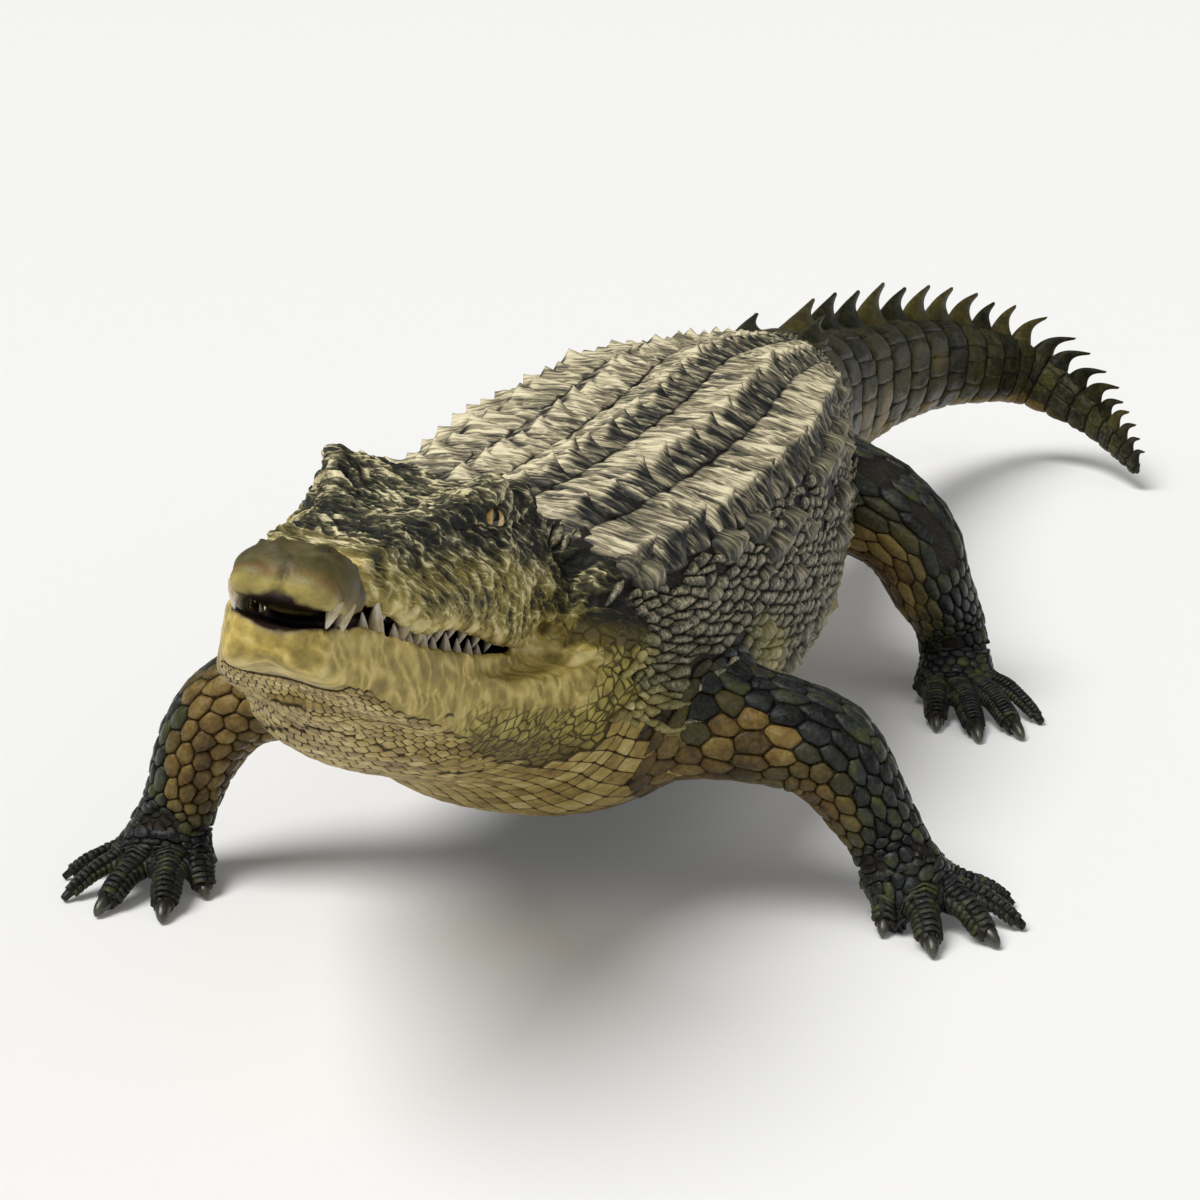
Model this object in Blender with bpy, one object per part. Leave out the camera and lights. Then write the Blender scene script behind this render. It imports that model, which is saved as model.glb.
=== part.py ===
"""Nile crocodile, life size: it stands with its head raised and its tail curled to its left.

The animal faces -Y and its left side is +X. Lengths are in metres and the floor is z = 0.
"""
import bmesh
import bpy
import numpy as np

GAP = 0.0004
SWELL = 0.00055
TOOTH_SIDES = 4
FINS, FIRST_FIN, LAST_FIN, FIN_PAIRS = 21, 1.745, 3.49, 1
FIN_STEPS = ((0, .14), (2, .155), (4, .14), (7, .122), (8, .10), (9, .070), (12, .046),
             (15, .052), (17, .042), (20, .036))
FIN_HEIGHTS = ((1.8, .028), (1.95, .044), (2.1, .060), (2.35, .064), (2.8, .060), (3.2, .056), (3.4, .046),
               (3.5, .030))

HEAD_LENGTH = 0.56
SNOUT_TIP = (0.0147, -1.1883, 0.5071)
HEAD_YAW, HEAD_PITCH, HEAD_ROLL = (9.85, -14.83, 9.76)
MOUTH_CORNER = 0.88

# Head tables: share of the head length behind the snout tip, then the value in head lengths.
UPPER_WIDTH = ((0, .080), (.05, .083), (.12, .086), (.17, .086), (.22, .106), (.3, .140), (.4, .152),
               (.5, .160), (.6, .175), (.7, .192), (.8, .207), (.88, .222), (1.0, .250), (1.16, .262))
UPPER_LIP = ((0, .0), (.05, -.003), (.11, -.002), (.17, .022), (.22, .018), (.29, .0), (.4, .004),
             (.5, .004), (.6, -.004), (.7, -.020), (.8, -.029), (.88, -.034), (1.16, -.034))
RIDGE_WIDTH = ((0, .045), (.05, .050), (.12, .060), (.2, .070), (.3, .070), (.4, .072), (.5, .080),
               (.6, .102), (.67, .124), (.73, .128), (.8, .128), (.95, .135), (1.0, .132), (1.16, .12))
RIDGE_HEIGHT = ((0, .050), (.05, .060), (.12, .072), (.2, .094), (.3, .113), (.4, .128), (.5, .151),
                (.6, .182), (.67, .222), (.73, .222), (.8, .215), (.95, .232), (1.02, .215), (1.16, .15))
CROWN = ((0, .075), (.05, .078), (.1, .082), (.2, .092), (.3, .108), (.4, .122), (.5, .135),
         (.6, .148), (.67, .163), (.75, .185), (.85, .205), (.95, .218), (1.02, .208), (1.16, .16))
JAW_WIDTH = ((0, .070), (.05, .075), (.15, .106), (.3, .146), (.45, .170), (.6, .187), (.75, .202),
             (.88, .222), (1.0, .262), (1.1, .290), (1.2, .29))
JAW_LIP = ((0, -.034), (.05, -.034), (.15, -.032), (.3, -.036), (.45, -.049), (.6, -.056),
           (.75, -.046), (.88, -.035), (1.2, -.035))
JAW_EDGE = ((0, -.075), (.05, -.084), (.15, -.103), (.3, -.136), (.45, -.160), (.6, -.185),
            (.75, -.209), (.88, -.214), (1.0, -.189), (1.1, -.147), (1.2, -.12))


def curve_value(table, at):
    """Smooth curve through the table's (position, value) pairs, held level past its ends."""
    x, y = np.asarray(table, float).T
    slope = np.gradient(y, x)
    at = np.clip(at, x[0], x[-1])
    i = np.clip(np.searchsorted(x, at) - 1, 0, len(x) - 2)
    gap = x[i + 1] - x[i]
    s = (at - x[i]) / gap
    ends = (2 * s**3 - 3 * s**2 + 1) * y[i] + (3 * s**2 - 2 * s**3) * y[i + 1]
    return ends + gap * ((s**3 - 2 * s**2 + s) * slope[i] + (s**3 - s**2) * slope[i + 1])


def head_frame():
    """The head's turn: rolled, then pitched, then turned to the animal's left."""
    yaw, pitch, roll = np.radians((HEAD_YAW, HEAD_PITCH, HEAD_ROLL))
    turn_z = np.array([[np.cos(yaw), -np.sin(yaw), 0], [np.sin(yaw), np.cos(yaw), 0], [0, 0, 1]])
    turn_x = np.array([[1, 0, 0], [0, np.cos(pitch), -np.sin(pitch)], [0, np.sin(pitch), np.cos(pitch)]])
    turn_y = np.array([[np.cos(roll), 0, np.sin(roll)], [0, 1, 0], [-np.sin(roll), 0, np.cos(roll)]])
    return turn_z @ turn_x @ turn_y


def on_head(points):
    """Head-length coordinates (left, back, up from the snout tip) to metres in the room."""
    return np.asarray(points) * HEAD_LENGTH @ head_frame().T + np.array(SNOUT_TIP)


def through(rails, count):
    """Points along a smooth line through each ring's few guide points, count per ring."""
    k = rails.shape[1]
    s = np.linspace(0, k - 1, count)
    i = np.clip(s.astype(int), 0, k - 2)
    s = (s - i)[:, None]
    slope = np.gradient(rails, axis=1)
    slope[:, -1, 1] = 0
    ends = (2 * s**3 - 3 * s**2 + 1) * rails[:, i] + (3 * s**2 - 2 * s**3) * rails[:, i + 1]
    return ends + (s**3 - 2 * s**2 + s) * slope[:, i] + (s**3 - s**2) * slope[:, i + 1]


def head_stations(count, last, nose=0.05):
    """Places along the head, close together at the rounded snout tip."""
    front = nose * (1 - np.cos(np.linspace(0.12, np.pi / 2, 6)))
    return np.concatenate([front, np.linspace(nose, last, count - 5)[1:]])


def rounded(t, nose=0.05, power=2.6):
    """How full a ring is this near the snout tip, from 0 to 1."""
    short = np.clip((nose - t) / nose, 0, 1)
    return (1 - short**power) ** (1 / power)


def arch(rails, middle, full, count):
    """Both halves of an arch from the guide points of its left half, shrunk about the middle."""
    half = through(rails, count)
    line = np.concatenate([half, (half[:, ::-1] * [-1, 1])[:, 1:]], 1)
    return (line - [0, middle]) * full[:, None, None] + [0, middle]


def upper_rings(stations, count, palate=7):
    """Closed rings of skull and snout: over the top from the left lip, then back by the palate."""
    t = stations
    width, lip = curve_value(UPPER_WIDTH, t), curve_value(UPPER_LIP, t)
    side, high = curve_value(RIDGE_WIDTH, t), curve_value(RIDGE_HEIGHT, t)
    crown = curve_value(CROWN, t)
    tall = high - lip
    rails = np.stack([
        np.stack([width * .90, lip], -1),
        np.stack([width, lip + .40 * tall], -1),
        np.stack([.35 * width + .65 * side, lip + .78 * tall], -1),
        np.stack([side, high], -1),
        np.stack([0 * t, crown], -1)], 1)
    full = rounded(t)
    over = arch(rails, .035, full, count)
    x = np.linspace(-1, 1, palate + 2)[1:-1]
    open_ = np.clip((MOUTH_CORNER - t) / .1, 0, 1)[:, None]
    under_x = x * width[:, None] * .90 * full[:, None]
    under_z = over[:, :1, 1] + .030 * open_ * full[:, None] * (1 - x**2) ** .5
    under = np.stack([under_x, under_z], -1)
    ring = np.concatenate([over, under], 1)
    back = np.broadcast_to(t[:, None, None], ring[..., :1].shape)
    return on_head(np.concatenate([ring[..., :1], back, ring[..., 1:]], -1))


def jaw_rings(stations, count, floor=7):
    """Closed rings of the lower jaw: round below from the left lip, then back by the mouth's floor."""
    t = stations
    width, lip, edge = curve_value(JAW_WIDTH, t), curve_value(JAW_LIP, t), curve_value(JAW_EDGE, t)
    deep = edge - lip
    rails = np.stack([
        np.stack([width * .96, lip], -1),
        np.stack([width * 1.01, lip + .45 * deep], -1),
        np.stack([width * .94, lip + .93 * deep], -1),
        np.stack([width * .60, lip + 1.02 * deep], -1),
        np.stack([0 * t, lip + .95 * deep], -1)], 1)
    full = rounded(t)
    under = arch(rails, -.055, full, count)[:, ::-1]
    x = np.linspace(-1, 1, floor + 2)[1:-1][::-1]
    open_ = np.clip((MOUTH_CORNER - t) / .1, 0, 1)[:, None]
    over_x = x * width[:, None] * .96 * full[:, None]
    over_z = under[:, :1, 1] - .018 * open_ * full[:, None] * (1 - x**2) ** .5
    ring = np.concatenate([under, np.stack([over_x, over_z], -1)], 1)
    back = np.broadcast_to(t[:, None, None], ring[..., :1].shape)
    return on_head(np.concatenate([ring[..., :1], back, ring[..., 1:]], -1))


def resampled(rows, at):
    """Rows of a path table read between its points, by distance along the first three columns."""
    rows = np.asarray(rows, float)
    step = np.linalg.norm(np.diff(rows[:, :3], axis=0), axis=1)
    x = np.concatenate([[0], np.cumsum(step)])
    slope = np.gradient(rows, x, axis=0)
    at = np.asarray(at) * x[-1]
    i = np.clip(np.searchsorted(x, at) - 1, 0, len(x) - 2)
    gap = (x[i + 1] - x[i])[:, None]
    s = ((at - x[i])[:, None]) / gap
    ends = (2 * s**3 - 3 * s**2 + 1) * rows[i] + (3 * s**2 - 2 * s**3) * rows[i + 1]
    return ends + gap * ((s**3 - 2 * s**2 + s) * slope[i] + (s**3 - s**2) * slope[i + 1])


def path_frames(points, hint, across):
    """Along, side and up directions at each point. The hint is the side if across, else the up."""
    along = np.gradient(points, axis=0)
    along /= np.linalg.norm(along, axis=1, keepdims=True)
    hint = np.broadcast_to(np.asarray(hint, float), points.shape)
    side = hint - (hint * along).sum(1, keepdims=True) * along if across else np.cross(along, hint)
    side /= np.linalg.norm(side, axis=1, keepdims=True)
    return along, side, np.cross(side, along)


def tube_rings(rows, at, count, hint=(0, 0, 1), across=False, dense=160):
    """Rings of a body or limb. A row is x, y, z, half width, height above, depth below, squareness."""
    fine = resampled(rows, np.linspace(0, 1, dense))
    _, side, up = path_frames(fine[:, :3], hint, across)
    place = np.asarray(at) * (dense - 1)
    read = lambda v: np.stack([np.interp(place, np.arange(dense), v[:, j]) for j in range(v.shape[1])], 1)
    row, side, up = resampled(rows, at), read(side), read(up)
    angle = np.linspace(0, 2 * np.pi, count, endpoint=False)
    c, s = np.cos(angle), np.sin(angle)
    power = 2 / row[:, 6:7]
    out = np.sign(c) * np.abs(c) ** power * row[:, 3:4]
    rise = np.sign(s) * np.abs(s) ** power * np.where(s > 0, row[:, 4:5], row[:, 5:6])
    return row[:, None, :3] + out[..., None] * side[:, None] + rise[..., None] * up[:, None]


# Path tables. Each row: x, y, z, half width, height above, depth below, squareness.
BODY = (
    (-.020, -1.06, .410, .045, .008, .020, 2.0), (-.030, -.95, .385, .085, .012, .055, 2.1),
    (-.050, -.85, .352, .122, .008, .080, 2.2), (-.062, -.76, .332, .150, .006, .104, 2.2),
    (-.070, -.69, .330, .172, .012, .135, 2.2), (-.070, -.64, .330, .184, .060, .155, 2.2),
    (-.066, -.59, .326, .194, .130, .175, 2.3),
    (-.050, -.50, .310, .212, .155, .205, 2.5), (-.038, -.35, .300, .230, .170, .220, 2.6),
    (-.032, -.10, .295, .243, .190, .212, 2.5), (-.045, .15, .295, .232, .195, .195, 2.4),
    (-.048, .40, .305, .188, .165, .165, 2.2), (-.040, .60, .310, .140, .140, .145, 2.2),
    (-.035, .80, .305, .105, .120, .135, 2.3), (-.020, 1.10, .290, .080, .100, .120, 2.4),
    (.030, 1.50, .265, .060, .085, .095, 2.5), (.110, 1.82, .225, .046, .072, .078, 2.5),
    (.215, 1.98, .178, .034, .055, .060, 2.4), (.330, 1.94, .120, .022, .038, .040, 2.3),
    (.410, 1.84, .070, .012, .022, .022, 2.2), (.455, 1.755, .040, .005, .009, .009, 2.0))
NECK_END, TRUNK_END, TAIL_BASE_END, TAIL_MID_END = -.46, .56, 1.05, 1.60

ARM_LEFT = (
    (.08, -.47, .225, .070, .085, .085, 2), (.19, -.455, .205, .060, .072, .072, 2),
    (.275, -.44, .186, .055, .060, .060, 2), (.318, -.430, .128, .045, .050, .050, 2),
    (.348, -.425, .080, .040, .038, .042, 2), (.364, -.437, .050, .045, .030, .034, 2))
ARM_RIGHT = (
    (-.16, -.50, .250, .070, .085, .085, 2), (-.26, -.52, .235, .060, .072, .072, 2),
    (-.350, -.54, .200, .052, .060, .060, 2), (-.392, -.548, .135, .044, .048, .048, 2),
    (-.412, -.548, .080, .040, .038, .042, 2), (-.424, -.562, .050, .045, .030, .034, 2))
LEG_LEFT = (
    (.01, .44, .275, .095, .110, .120, 2), (.125, .37, .272, .080, .095, .100, 2),
    (.200, .322, .262, .070, .080, .085, 2), (.246, .310, .225, .064, .068, .072, 2),
    (.266, .325, .170, .056, .055, .058, 2),
    (.292, .375, .100, .048, .045, .048, 2), (.304, .372, .060, .050, .036, .042, 2))
LEG_RIGHT = (
    (-.10, .44, .275, .095, .110, .120, 2), (-.25, .345, .285, .082, .090, .095, 2),
    (-.365, .275, .278, .072, .080, .085, 2), (-.424, .262, .244, .064, .068, .072, 2),
    (-.450, .290, .185, .056, .055, .058, 2),
    (-.455, .355, .100, .048, .045, .048, 2), (-.460, .360, .060, .050, .036, .042, 2))

# Digits: base x, y; tip x, y; base radius; tip radius; True where it ends in a claw.
HAND_LEFT = ((.350, -.425, .354, -.497, .0170, .0110, True), (.377, -.438, .413, -.534, .0195, .0120, True),
             (.400, -.430, .472, -.490, .0185, .0115, True), (.405, -.415, .493, -.434, .0160, .0065, False),
             (.400, -.398, .474, -.373, .0140, .0058, False))
HAND_RIGHT = ((-.392, -.560, -.355, -.606, .0170, .0110, True),
              (-.408, -.575, -.370, -.679, .0195, .0120, True),
              (-.430, -.578, -.444, -.684, .0185, .0115, True),
              (-.448, -.568, -.500, -.656, .0160, .0065, False),
              (-.452, -.552, -.532, -.598, .0140, .0058, False))
FOOT_LEFT = ((.285, .300, .307, .179, .0185, .0120, True), (.312, .300, .367, .151, .0200, .0125, True),
             (.330, .320, .419, .179, .0200, .0120, True), (.345, .345, .436, .253, .0165, .0072, False))
FOOT_RIGHT = tuple((-.170 - a, b - .022, -.170 - c, d - .03, e, f, g) for a, b, c, d, e, f, g in FOOT_LEFT)

EYE_PLACE, EYE_RADIUS = (.129, .69, .166), 0.0165
UPPER_TEETH = ((.03, .5), (.08, .9), (.13, 1.0), (.25, .8), (.31, 1.0), (.39, .8), (.50, .8), (.60, .7),
               (.70, .6))
LOWER_TEETH = ((.05, .9), (.105, .7), (.17, 1.0), (.35, .7), (.45, .7), (.55, .8), (.65, .6))
SKIN_DARK, SKIN_PALE, SKIN_OLIVE = (.045, .045, .035), (.40, .33, .13), (.13, .12, .05)


def material(name, colour, roughness=0.6):
    """A plain finish."""
    made = bpy.data.materials.new(name)
    made.use_nodes = True
    shader = made.node_tree.nodes["Principled BSDF"]
    shader.inputs["Base Color"].default_value = (*colour, 1)
    shader.inputs["Roughness"].default_value = roughness
    shader.inputs["Metallic"].default_value = 0
    return made


def mesh_object(name, bm, finish=None, hide=False):
    """An object from a bmesh, with its faces turned outward."""
    bmesh.ops.recalc_face_normals(bm, faces=bm.faces)
    if bm.calc_volume(signed=True) < 0:
        bmesh.ops.reverse_faces(bm, faces=bm.faces)
    bmesh.ops.triangulate(bm, faces=bm.faces)
    mesh = bpy.data.meshes.new(name)
    bm.to_mesh(mesh)
    bm.free()
    mesh.polygons.foreach_set("use_smooth", np.ones(len(mesh.polygons), bool))
    if finish:
        mesh.materials.append(finish)
    made = bpy.data.objects.new(name, mesh)
    bpy.context.scene.collection.objects.link(made)
    if hide:
        made.hide_render = True
        made.display_type = "WIRE"
    return made


def add_rings(bm, rings):
    """Joins a stack of closed rings into one closed body with a point at the middle of each end."""
    rows = [[bm.verts.new(p) for p in ring] for ring in rings]
    count = len(rows[0])
    for a, b in zip(rows, rows[1:]):
        for j in range(count):
            k = (j + 1) % count
            bm.faces.new((a[j], a[k], b[k], b[j]))
    for row, ring in ((rows[0], rings[0]), (rows[-1], rings[-1])):
        hub = bm.verts.new(ring.mean(axis=0))
        for j in range(count):
            bm.faces.new((row[j], row[(j + 1) % count], hub))
    return bm


def swollen(made, by=SWELL):
    """A hidden copy of a body, grown by a little, used to cut its neighbours."""
    bm = bmesh.new()
    bm.from_mesh(made.data)
    bm.normal_update()
    moves = [(v, v.normal.copy()) for v in bm.verts]
    for vert, normal in moves:
        vert.co += normal * by
    return mesh_object(made.name + "_cutter", bm, hide=True)


def combine(target, other, operation):
    """Applies one exact Boolean to the target."""
    step = target.modifiers.new(operation.lower(), "BOOLEAN")
    step.operation = operation
    step.solver = "EXACT"
    step.object = other
    bpy.context.view_layer.update()
    graph = bpy.context.evaluated_depsgraph_get()
    result = bpy.data.meshes.new_from_object(target.evaluated_get(graph))
    target.modifiers.clear()
    bm = bmesh.new()
    bm.from_mesh(result)
    bmesh.ops.triangulate(bm, faces=bm.faces)
    bm.to_mesh(result)
    bm.free()
    target.data = result
    return target


def cut(target, others, by=SWELL):
    """Removes the neighbours from the target, leaving a thin gap."""
    for other in others:
        cutter = swollen(other, by)
        combine(target, cutter, "DIFFERENCE")
        bpy.data.objects.remove(cutter)
    return target


def add_cone(bm, root, tip, radius, sides=TOOTH_SIDES, bend=(0, 0, 0)):
    """A tooth or claw: rings that narrow from the root to the tip."""
    root, tip = np.array(root, float), np.array(tip, float)
    rows = [(*(root + (tip - root) * s + np.array(bend) * 4 * s * (1 - s)), *([radius * w] * 3), 2)
            for s, w in ((0, 1), (.95, .2))]
    along = tip - root
    hint = (1, 0, 0) if abs(along[2]) > abs(along[0]) else (0, 0, 1)
    return add_rings(bm, tube_rings(rows, np.array([0, 1]), sides, hint, True))


def teeth(side_width, lip, table, down, length, inset):
    """Every tooth of one jaw as cones that start inside the lip."""
    bm = bmesh.new()
    for t, size in table:
        full = float(rounded(np.array([t]))[0])
        x = float(curve_value(side_width, np.array([t]))[0]) * inset * full
        z = float(curve_value(lip, np.array([t]))[0])
        for side in (-1, 1):
            root = on_head((side * x, t + .008, z - down * .02))
            tip = on_head((side * (x + .004), t + .008, z + down * length * size))
            add_cone(bm, root, tip, .0062 * (.6 + .4 * size))
    return bm


def build_head(bone, jaw_finish, eye_finish):
    """Skull with its snout, the lower jaw, and the two eyes set in their sockets."""
    skull_rings = upper_rings(head_stations(21, 1.16), 9, 3)
    skull = mesh_object("head_upper", add_rings(bmesh.new(), skull_rings), bone)
    low_rings = jaw_rings(head_stations(16, 1.14), 7, 3)
    jaw = mesh_object("lower_jaw", add_rings(bmesh.new(), low_rings), jaw_finish)
    for body, width, lip, table, down, length, inset in (
            (skull, UPPER_WIDTH, UPPER_LIP, UPPER_TEETH, -1, .026, .80),
            (jaw, JAW_WIDTH, JAW_LIP, LOWER_TEETH, 1, .024, .80)):
        cones = mesh_object("teeth_cutter", teeth(width, lip, table, down, length, inset), hide=True)
        combine(body, cones, "UNION")
        bpy.data.objects.remove(cones)
    eyes = []
    for name, side in (("eye_left", 1), ("eye_right", -1)):
        bm = bmesh.new()
        bmesh.ops.create_uvsphere(bm, u_segments=10, v_segments=6, radius=EYE_RADIUS)
        place = on_head((side * EYE_PLACE[0], EYE_PLACE[1], EYE_PLACE[2]))
        bmesh.ops.translate(bm, verts=bm.verts, vec=place)
        eyes.append(mesh_object(name, bm, eye_finish))
    cut(skull, eyes)
    return skull, jaw, eyes


def body_at(y):
    """Share of the body's path where it passes this distance back (before the tail turns)."""
    s = np.linspace(0, .85, 400)
    return float(np.interp(y, resampled(BODY, s)[:, 1], s))


def fin_places():
    """How far along the body's path each crest fin stands, and its height and length, in metres."""
    steps = np.interp(np.arange(FINS), *np.array(FIN_STEPS).T)
    steps *= (LAST_FIN - FIRST_FIN) / steps.sum()
    at = FIRST_FIN + np.cumsum(steps) - steps / 2
    tall = np.interp(at, *np.array(FIN_HEIGHTS).T)
    return at, tall, steps


def add_fin(bm, root, along, side, up, tall, length, thick):
    """One crest fin: a thin wedge whose upper edge hooks back."""
    sink = .35 * tall
    corners = [(-.48, -1, -sink), (.48, -1, -sink), (.48, 1, -sink), (-.48, 1, -sink),
               (.22, -.2, tall), (.46, -.2, tall * .97), (.46, .2, tall * .97), (.22, .2, tall)]
    verts = [bm.verts.new(root + along * a * length + side * b * thick + up * c) for a, b, c in corners]
    for face in ((3, 2, 1, 0), (4, 5, 6, 7), (0, 1, 5, 4), (1, 2, 6, 5), (2, 3, 7, 6), (3, 0, 4, 7)):
        bm.faces.new([verts[i] for i in face])


def build_crest(first, last, total):
    """The fins that stand on one stretch of the tail."""
    bm = bmesh.new()
    s = np.linspace(0, 1, 400)
    fine = resampled(BODY, s)
    along, side, up = path_frames(fine[:, :3], (0, 0, 1), False)
    at, tall, steps = fin_places()
    for n, (a, h, step) in enumerate(zip(at, tall, steps)):
        if not first < (a / total) <= last:
            continue
        i = int(round(a / total * 399))
        room = min((last - a / total) * total, (a / total - first) * total)
        length = min(step * .9, 1.5 * room)
        pair = n < FIN_PAIRS
        for lean in ((-1, 1) if pair else (0,)):
            out = lean * fine[i, 3] * .38
            root = fine[i, :3] + side[i] * out + up[i] * fine[i, 4] * (.93 if pair else .985)
            add_fin(bm, root, along[i], side[i], up[i], h, length, .006 + .04 * h)
    return bm


def build_trunk(neck_finish, trunk_finish, tail_finish):
    """Neck with the throat, trunk, and the three stretches of the tail with their crest."""
    step = np.linalg.norm(np.diff(resampled(BODY, np.linspace(0, 1, 400))[:, :3], axis=0), axis=1)
    total = float(step.sum())
    ends = [0, body_at(NECK_END), body_at(TRUNK_END), body_at(TAIL_BASE_END), body_at(TAIL_MID_END), 1]
    names = ("neck", "trunk", "tail_base", "tail_mid", "tail_tip")
    rows, counts = (10, 12, 7, 7, 15), (20, 24, 16, 12, 10)
    finishes = (neck_finish, trunk_finish, tail_finish, tail_finish, tail_finish)
    made = []
    for n, name in enumerate(names):
        start = ends[n] + (GAP / total if n else 0)
        rings = tube_rings(BODY, np.linspace(start, ends[n + 1], rows[n]), counts[n])
        body = mesh_object(name, add_rings(bmesh.new(), rings), finishes[n])
        if n > 1:
            fins = mesh_object("fins_cutter", build_crest(start, ends[n + 1], total), hide=True)
            combine(body, fins, "UNION")
            bpy.data.objects.remove(fins)
        made.append(body)
    return made


def level(foot):
    """Cuts the foot's underside off at floor level, which leaves the flats that it stands on."""
    bm = bmesh.new()
    bm.from_mesh(foot.data)
    every = list(bm.verts) + list(bm.edges) + list(bm.faces)
    bmesh.ops.bisect_plane(bm, geom=every, dist=1e-6, plane_co=(0, 0, 0), plane_no=(0, 0, 1),
                           clear_inner=True)
    rim = [edge for edge in bm.edges if edge.is_boundary]
    bmesh.ops.holes_fill(bm, edges=rim, sides=0)
    bmesh.ops.triangulate(bm, faces=bm.faces)
    bmesh.ops.recalc_face_normals(bm, faces=bm.faces)
    bm.to_mesh(foot.data)
    bm.free()


def digit_rows(digit, clawed):
    """Path of one digit: it leaves the palm, arches over its knuckle and comes down to the floor."""
    bx, by, tx, ty, wide, thin, _ = digit
    s = np.linspace(0, 1, 7) * (.80 if clawed else 1)
    x, y = bx + (tx - bx) * s, by + (ty - by) * s
    radius = wide + (thin - wide) * s
    share = s / s[-1]
    z = .028 * (1 - share) + (radius * .92 - .0025) * share + .011 * np.sin(np.pi * share)
    return np.stack([x, y, z, radius, radius * .92, radius * .92, 2 + 0 * s], -1)


def build_foot(name, digits, limb, start, finish, claw_finish, claw_names):
    """Palm and digits standing on small flats, with the claws as pieces of their own."""
    rings = tube_rings(limb, np.linspace(start, 1, 4), 10, (0, 1, .1))
    foot = mesh_object(name, add_rings(bmesh.new(), rings), finish)
    palm_end = np.mean([d[:2] for d in digits[:-1]], axis=0)
    tips = np.mean([d[2:4] for d in digits[:-1]], axis=0)
    ahead = (tips - palm_end) / np.linalg.norm(tips - palm_end)
    across = (ahead[1], -ahead[0], 0)
    wrist = np.array(limb[-1][:3])
    front = np.array([*(palm_end + ahead * .012), .024])
    spread = .030 + .5 * np.linalg.norm(np.subtract(digits[-1][:2], digits[0][:2]))
    back = np.array([*(wrist[:2] - ahead * .030), .030])
    middle = np.array([*((wrist[:2] + palm_end) / 2), .034])
    palm_rows = [(*back, .022, .020, .034, 2.3), (*middle, spread * .92, .030, .037, 2.4),
                 (*front, spread, .020, .026, 2.4)]
    palm_rings = tube_rings(palm_rows, np.linspace(0, 1, 4), 8, across, True)
    palm = mesh_object("palm_cutter", add_rings(bmesh.new(), palm_rings), hide=True)
    combine(foot, palm, "UNION")
    bpy.data.objects.remove(palm)
    claws = []
    for n, digit in enumerate(digits):
        rows = digit_rows(digit, digit[6])
        ring = tube_rings(rows, np.linspace(0, 1, 5), 6, across, True)
        part = mesh_object("digit_cutter", add_rings(bmesh.new(), ring), hide=True)
        combine(foot, part, "UNION")
        bpy.data.objects.remove(part)
        if digit[6]:
            claws.append(build_claw(claw_names[n], digit, rows, claw_finish))
    level(foot)
    return foot, claws


def build_claw(name, digit, rows, finish):
    """A stout claw that leaves the digit's end and curves down to just above the floor."""
    end = np.array(rows[-1][:3])
    ahead = np.array([digit[2] - digit[0], digit[3] - digit[1], 0])
    ahead /= np.linalg.norm(ahead)
    root = end - ahead * .010 + (0, 0, .002)
    tip = np.array([digit[2], digit[3], .0032])
    bm = bmesh.new()
    s = np.linspace(0, 1, 4)
    centre = root + (tip - root) * s[:, None] + np.outer(4 * s * (1 - s), (0, 0, .0035))
    radius = digit[5] * .74 * (1 - s**1.8 * .86)
    path = np.concatenate([centre, np.stack([radius] * 3, -1), 2 + 0 * radius[:, None]], 1)
    add_rings(bm, tube_rings(path, s, 6, (0, 0, 1), False))
    return mesh_object(name, bm, finish)


def build_limb(prefix, names, limb, splits, digits, trunk, finishes, claw_finish):
    """One leg: upper part, lower part, foot and claws."""
    upper_end, lower_end = splits
    upper = tube_rings(limb, np.linspace(0, upper_end - .002, 7), 14, (0, 1, .1))
    lower = tube_rings(limb, np.linspace(upper_end, lower_end - .002, 6), 12, (0, 1, .1))
    first = mesh_object(f"{names[0]}_{prefix}", add_rings(bmesh.new(), upper), finishes)
    second = mesh_object(f"{names[1]}_{prefix}", add_rings(bmesh.new(), lower), finishes)
    cut(first, trunk)
    claw_names = [f"claw_{prefix}_{n + 1}" for n in range(3)] + ["", ""]
    foot, claws = build_foot(f"{names[2]}_{prefix}", digits, limb, lower_end, finishes, claw_finish,
                             claw_names)
    cut(second, [foot])
    cut(foot, claws)
    return [first, second, foot] + claws


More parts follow.
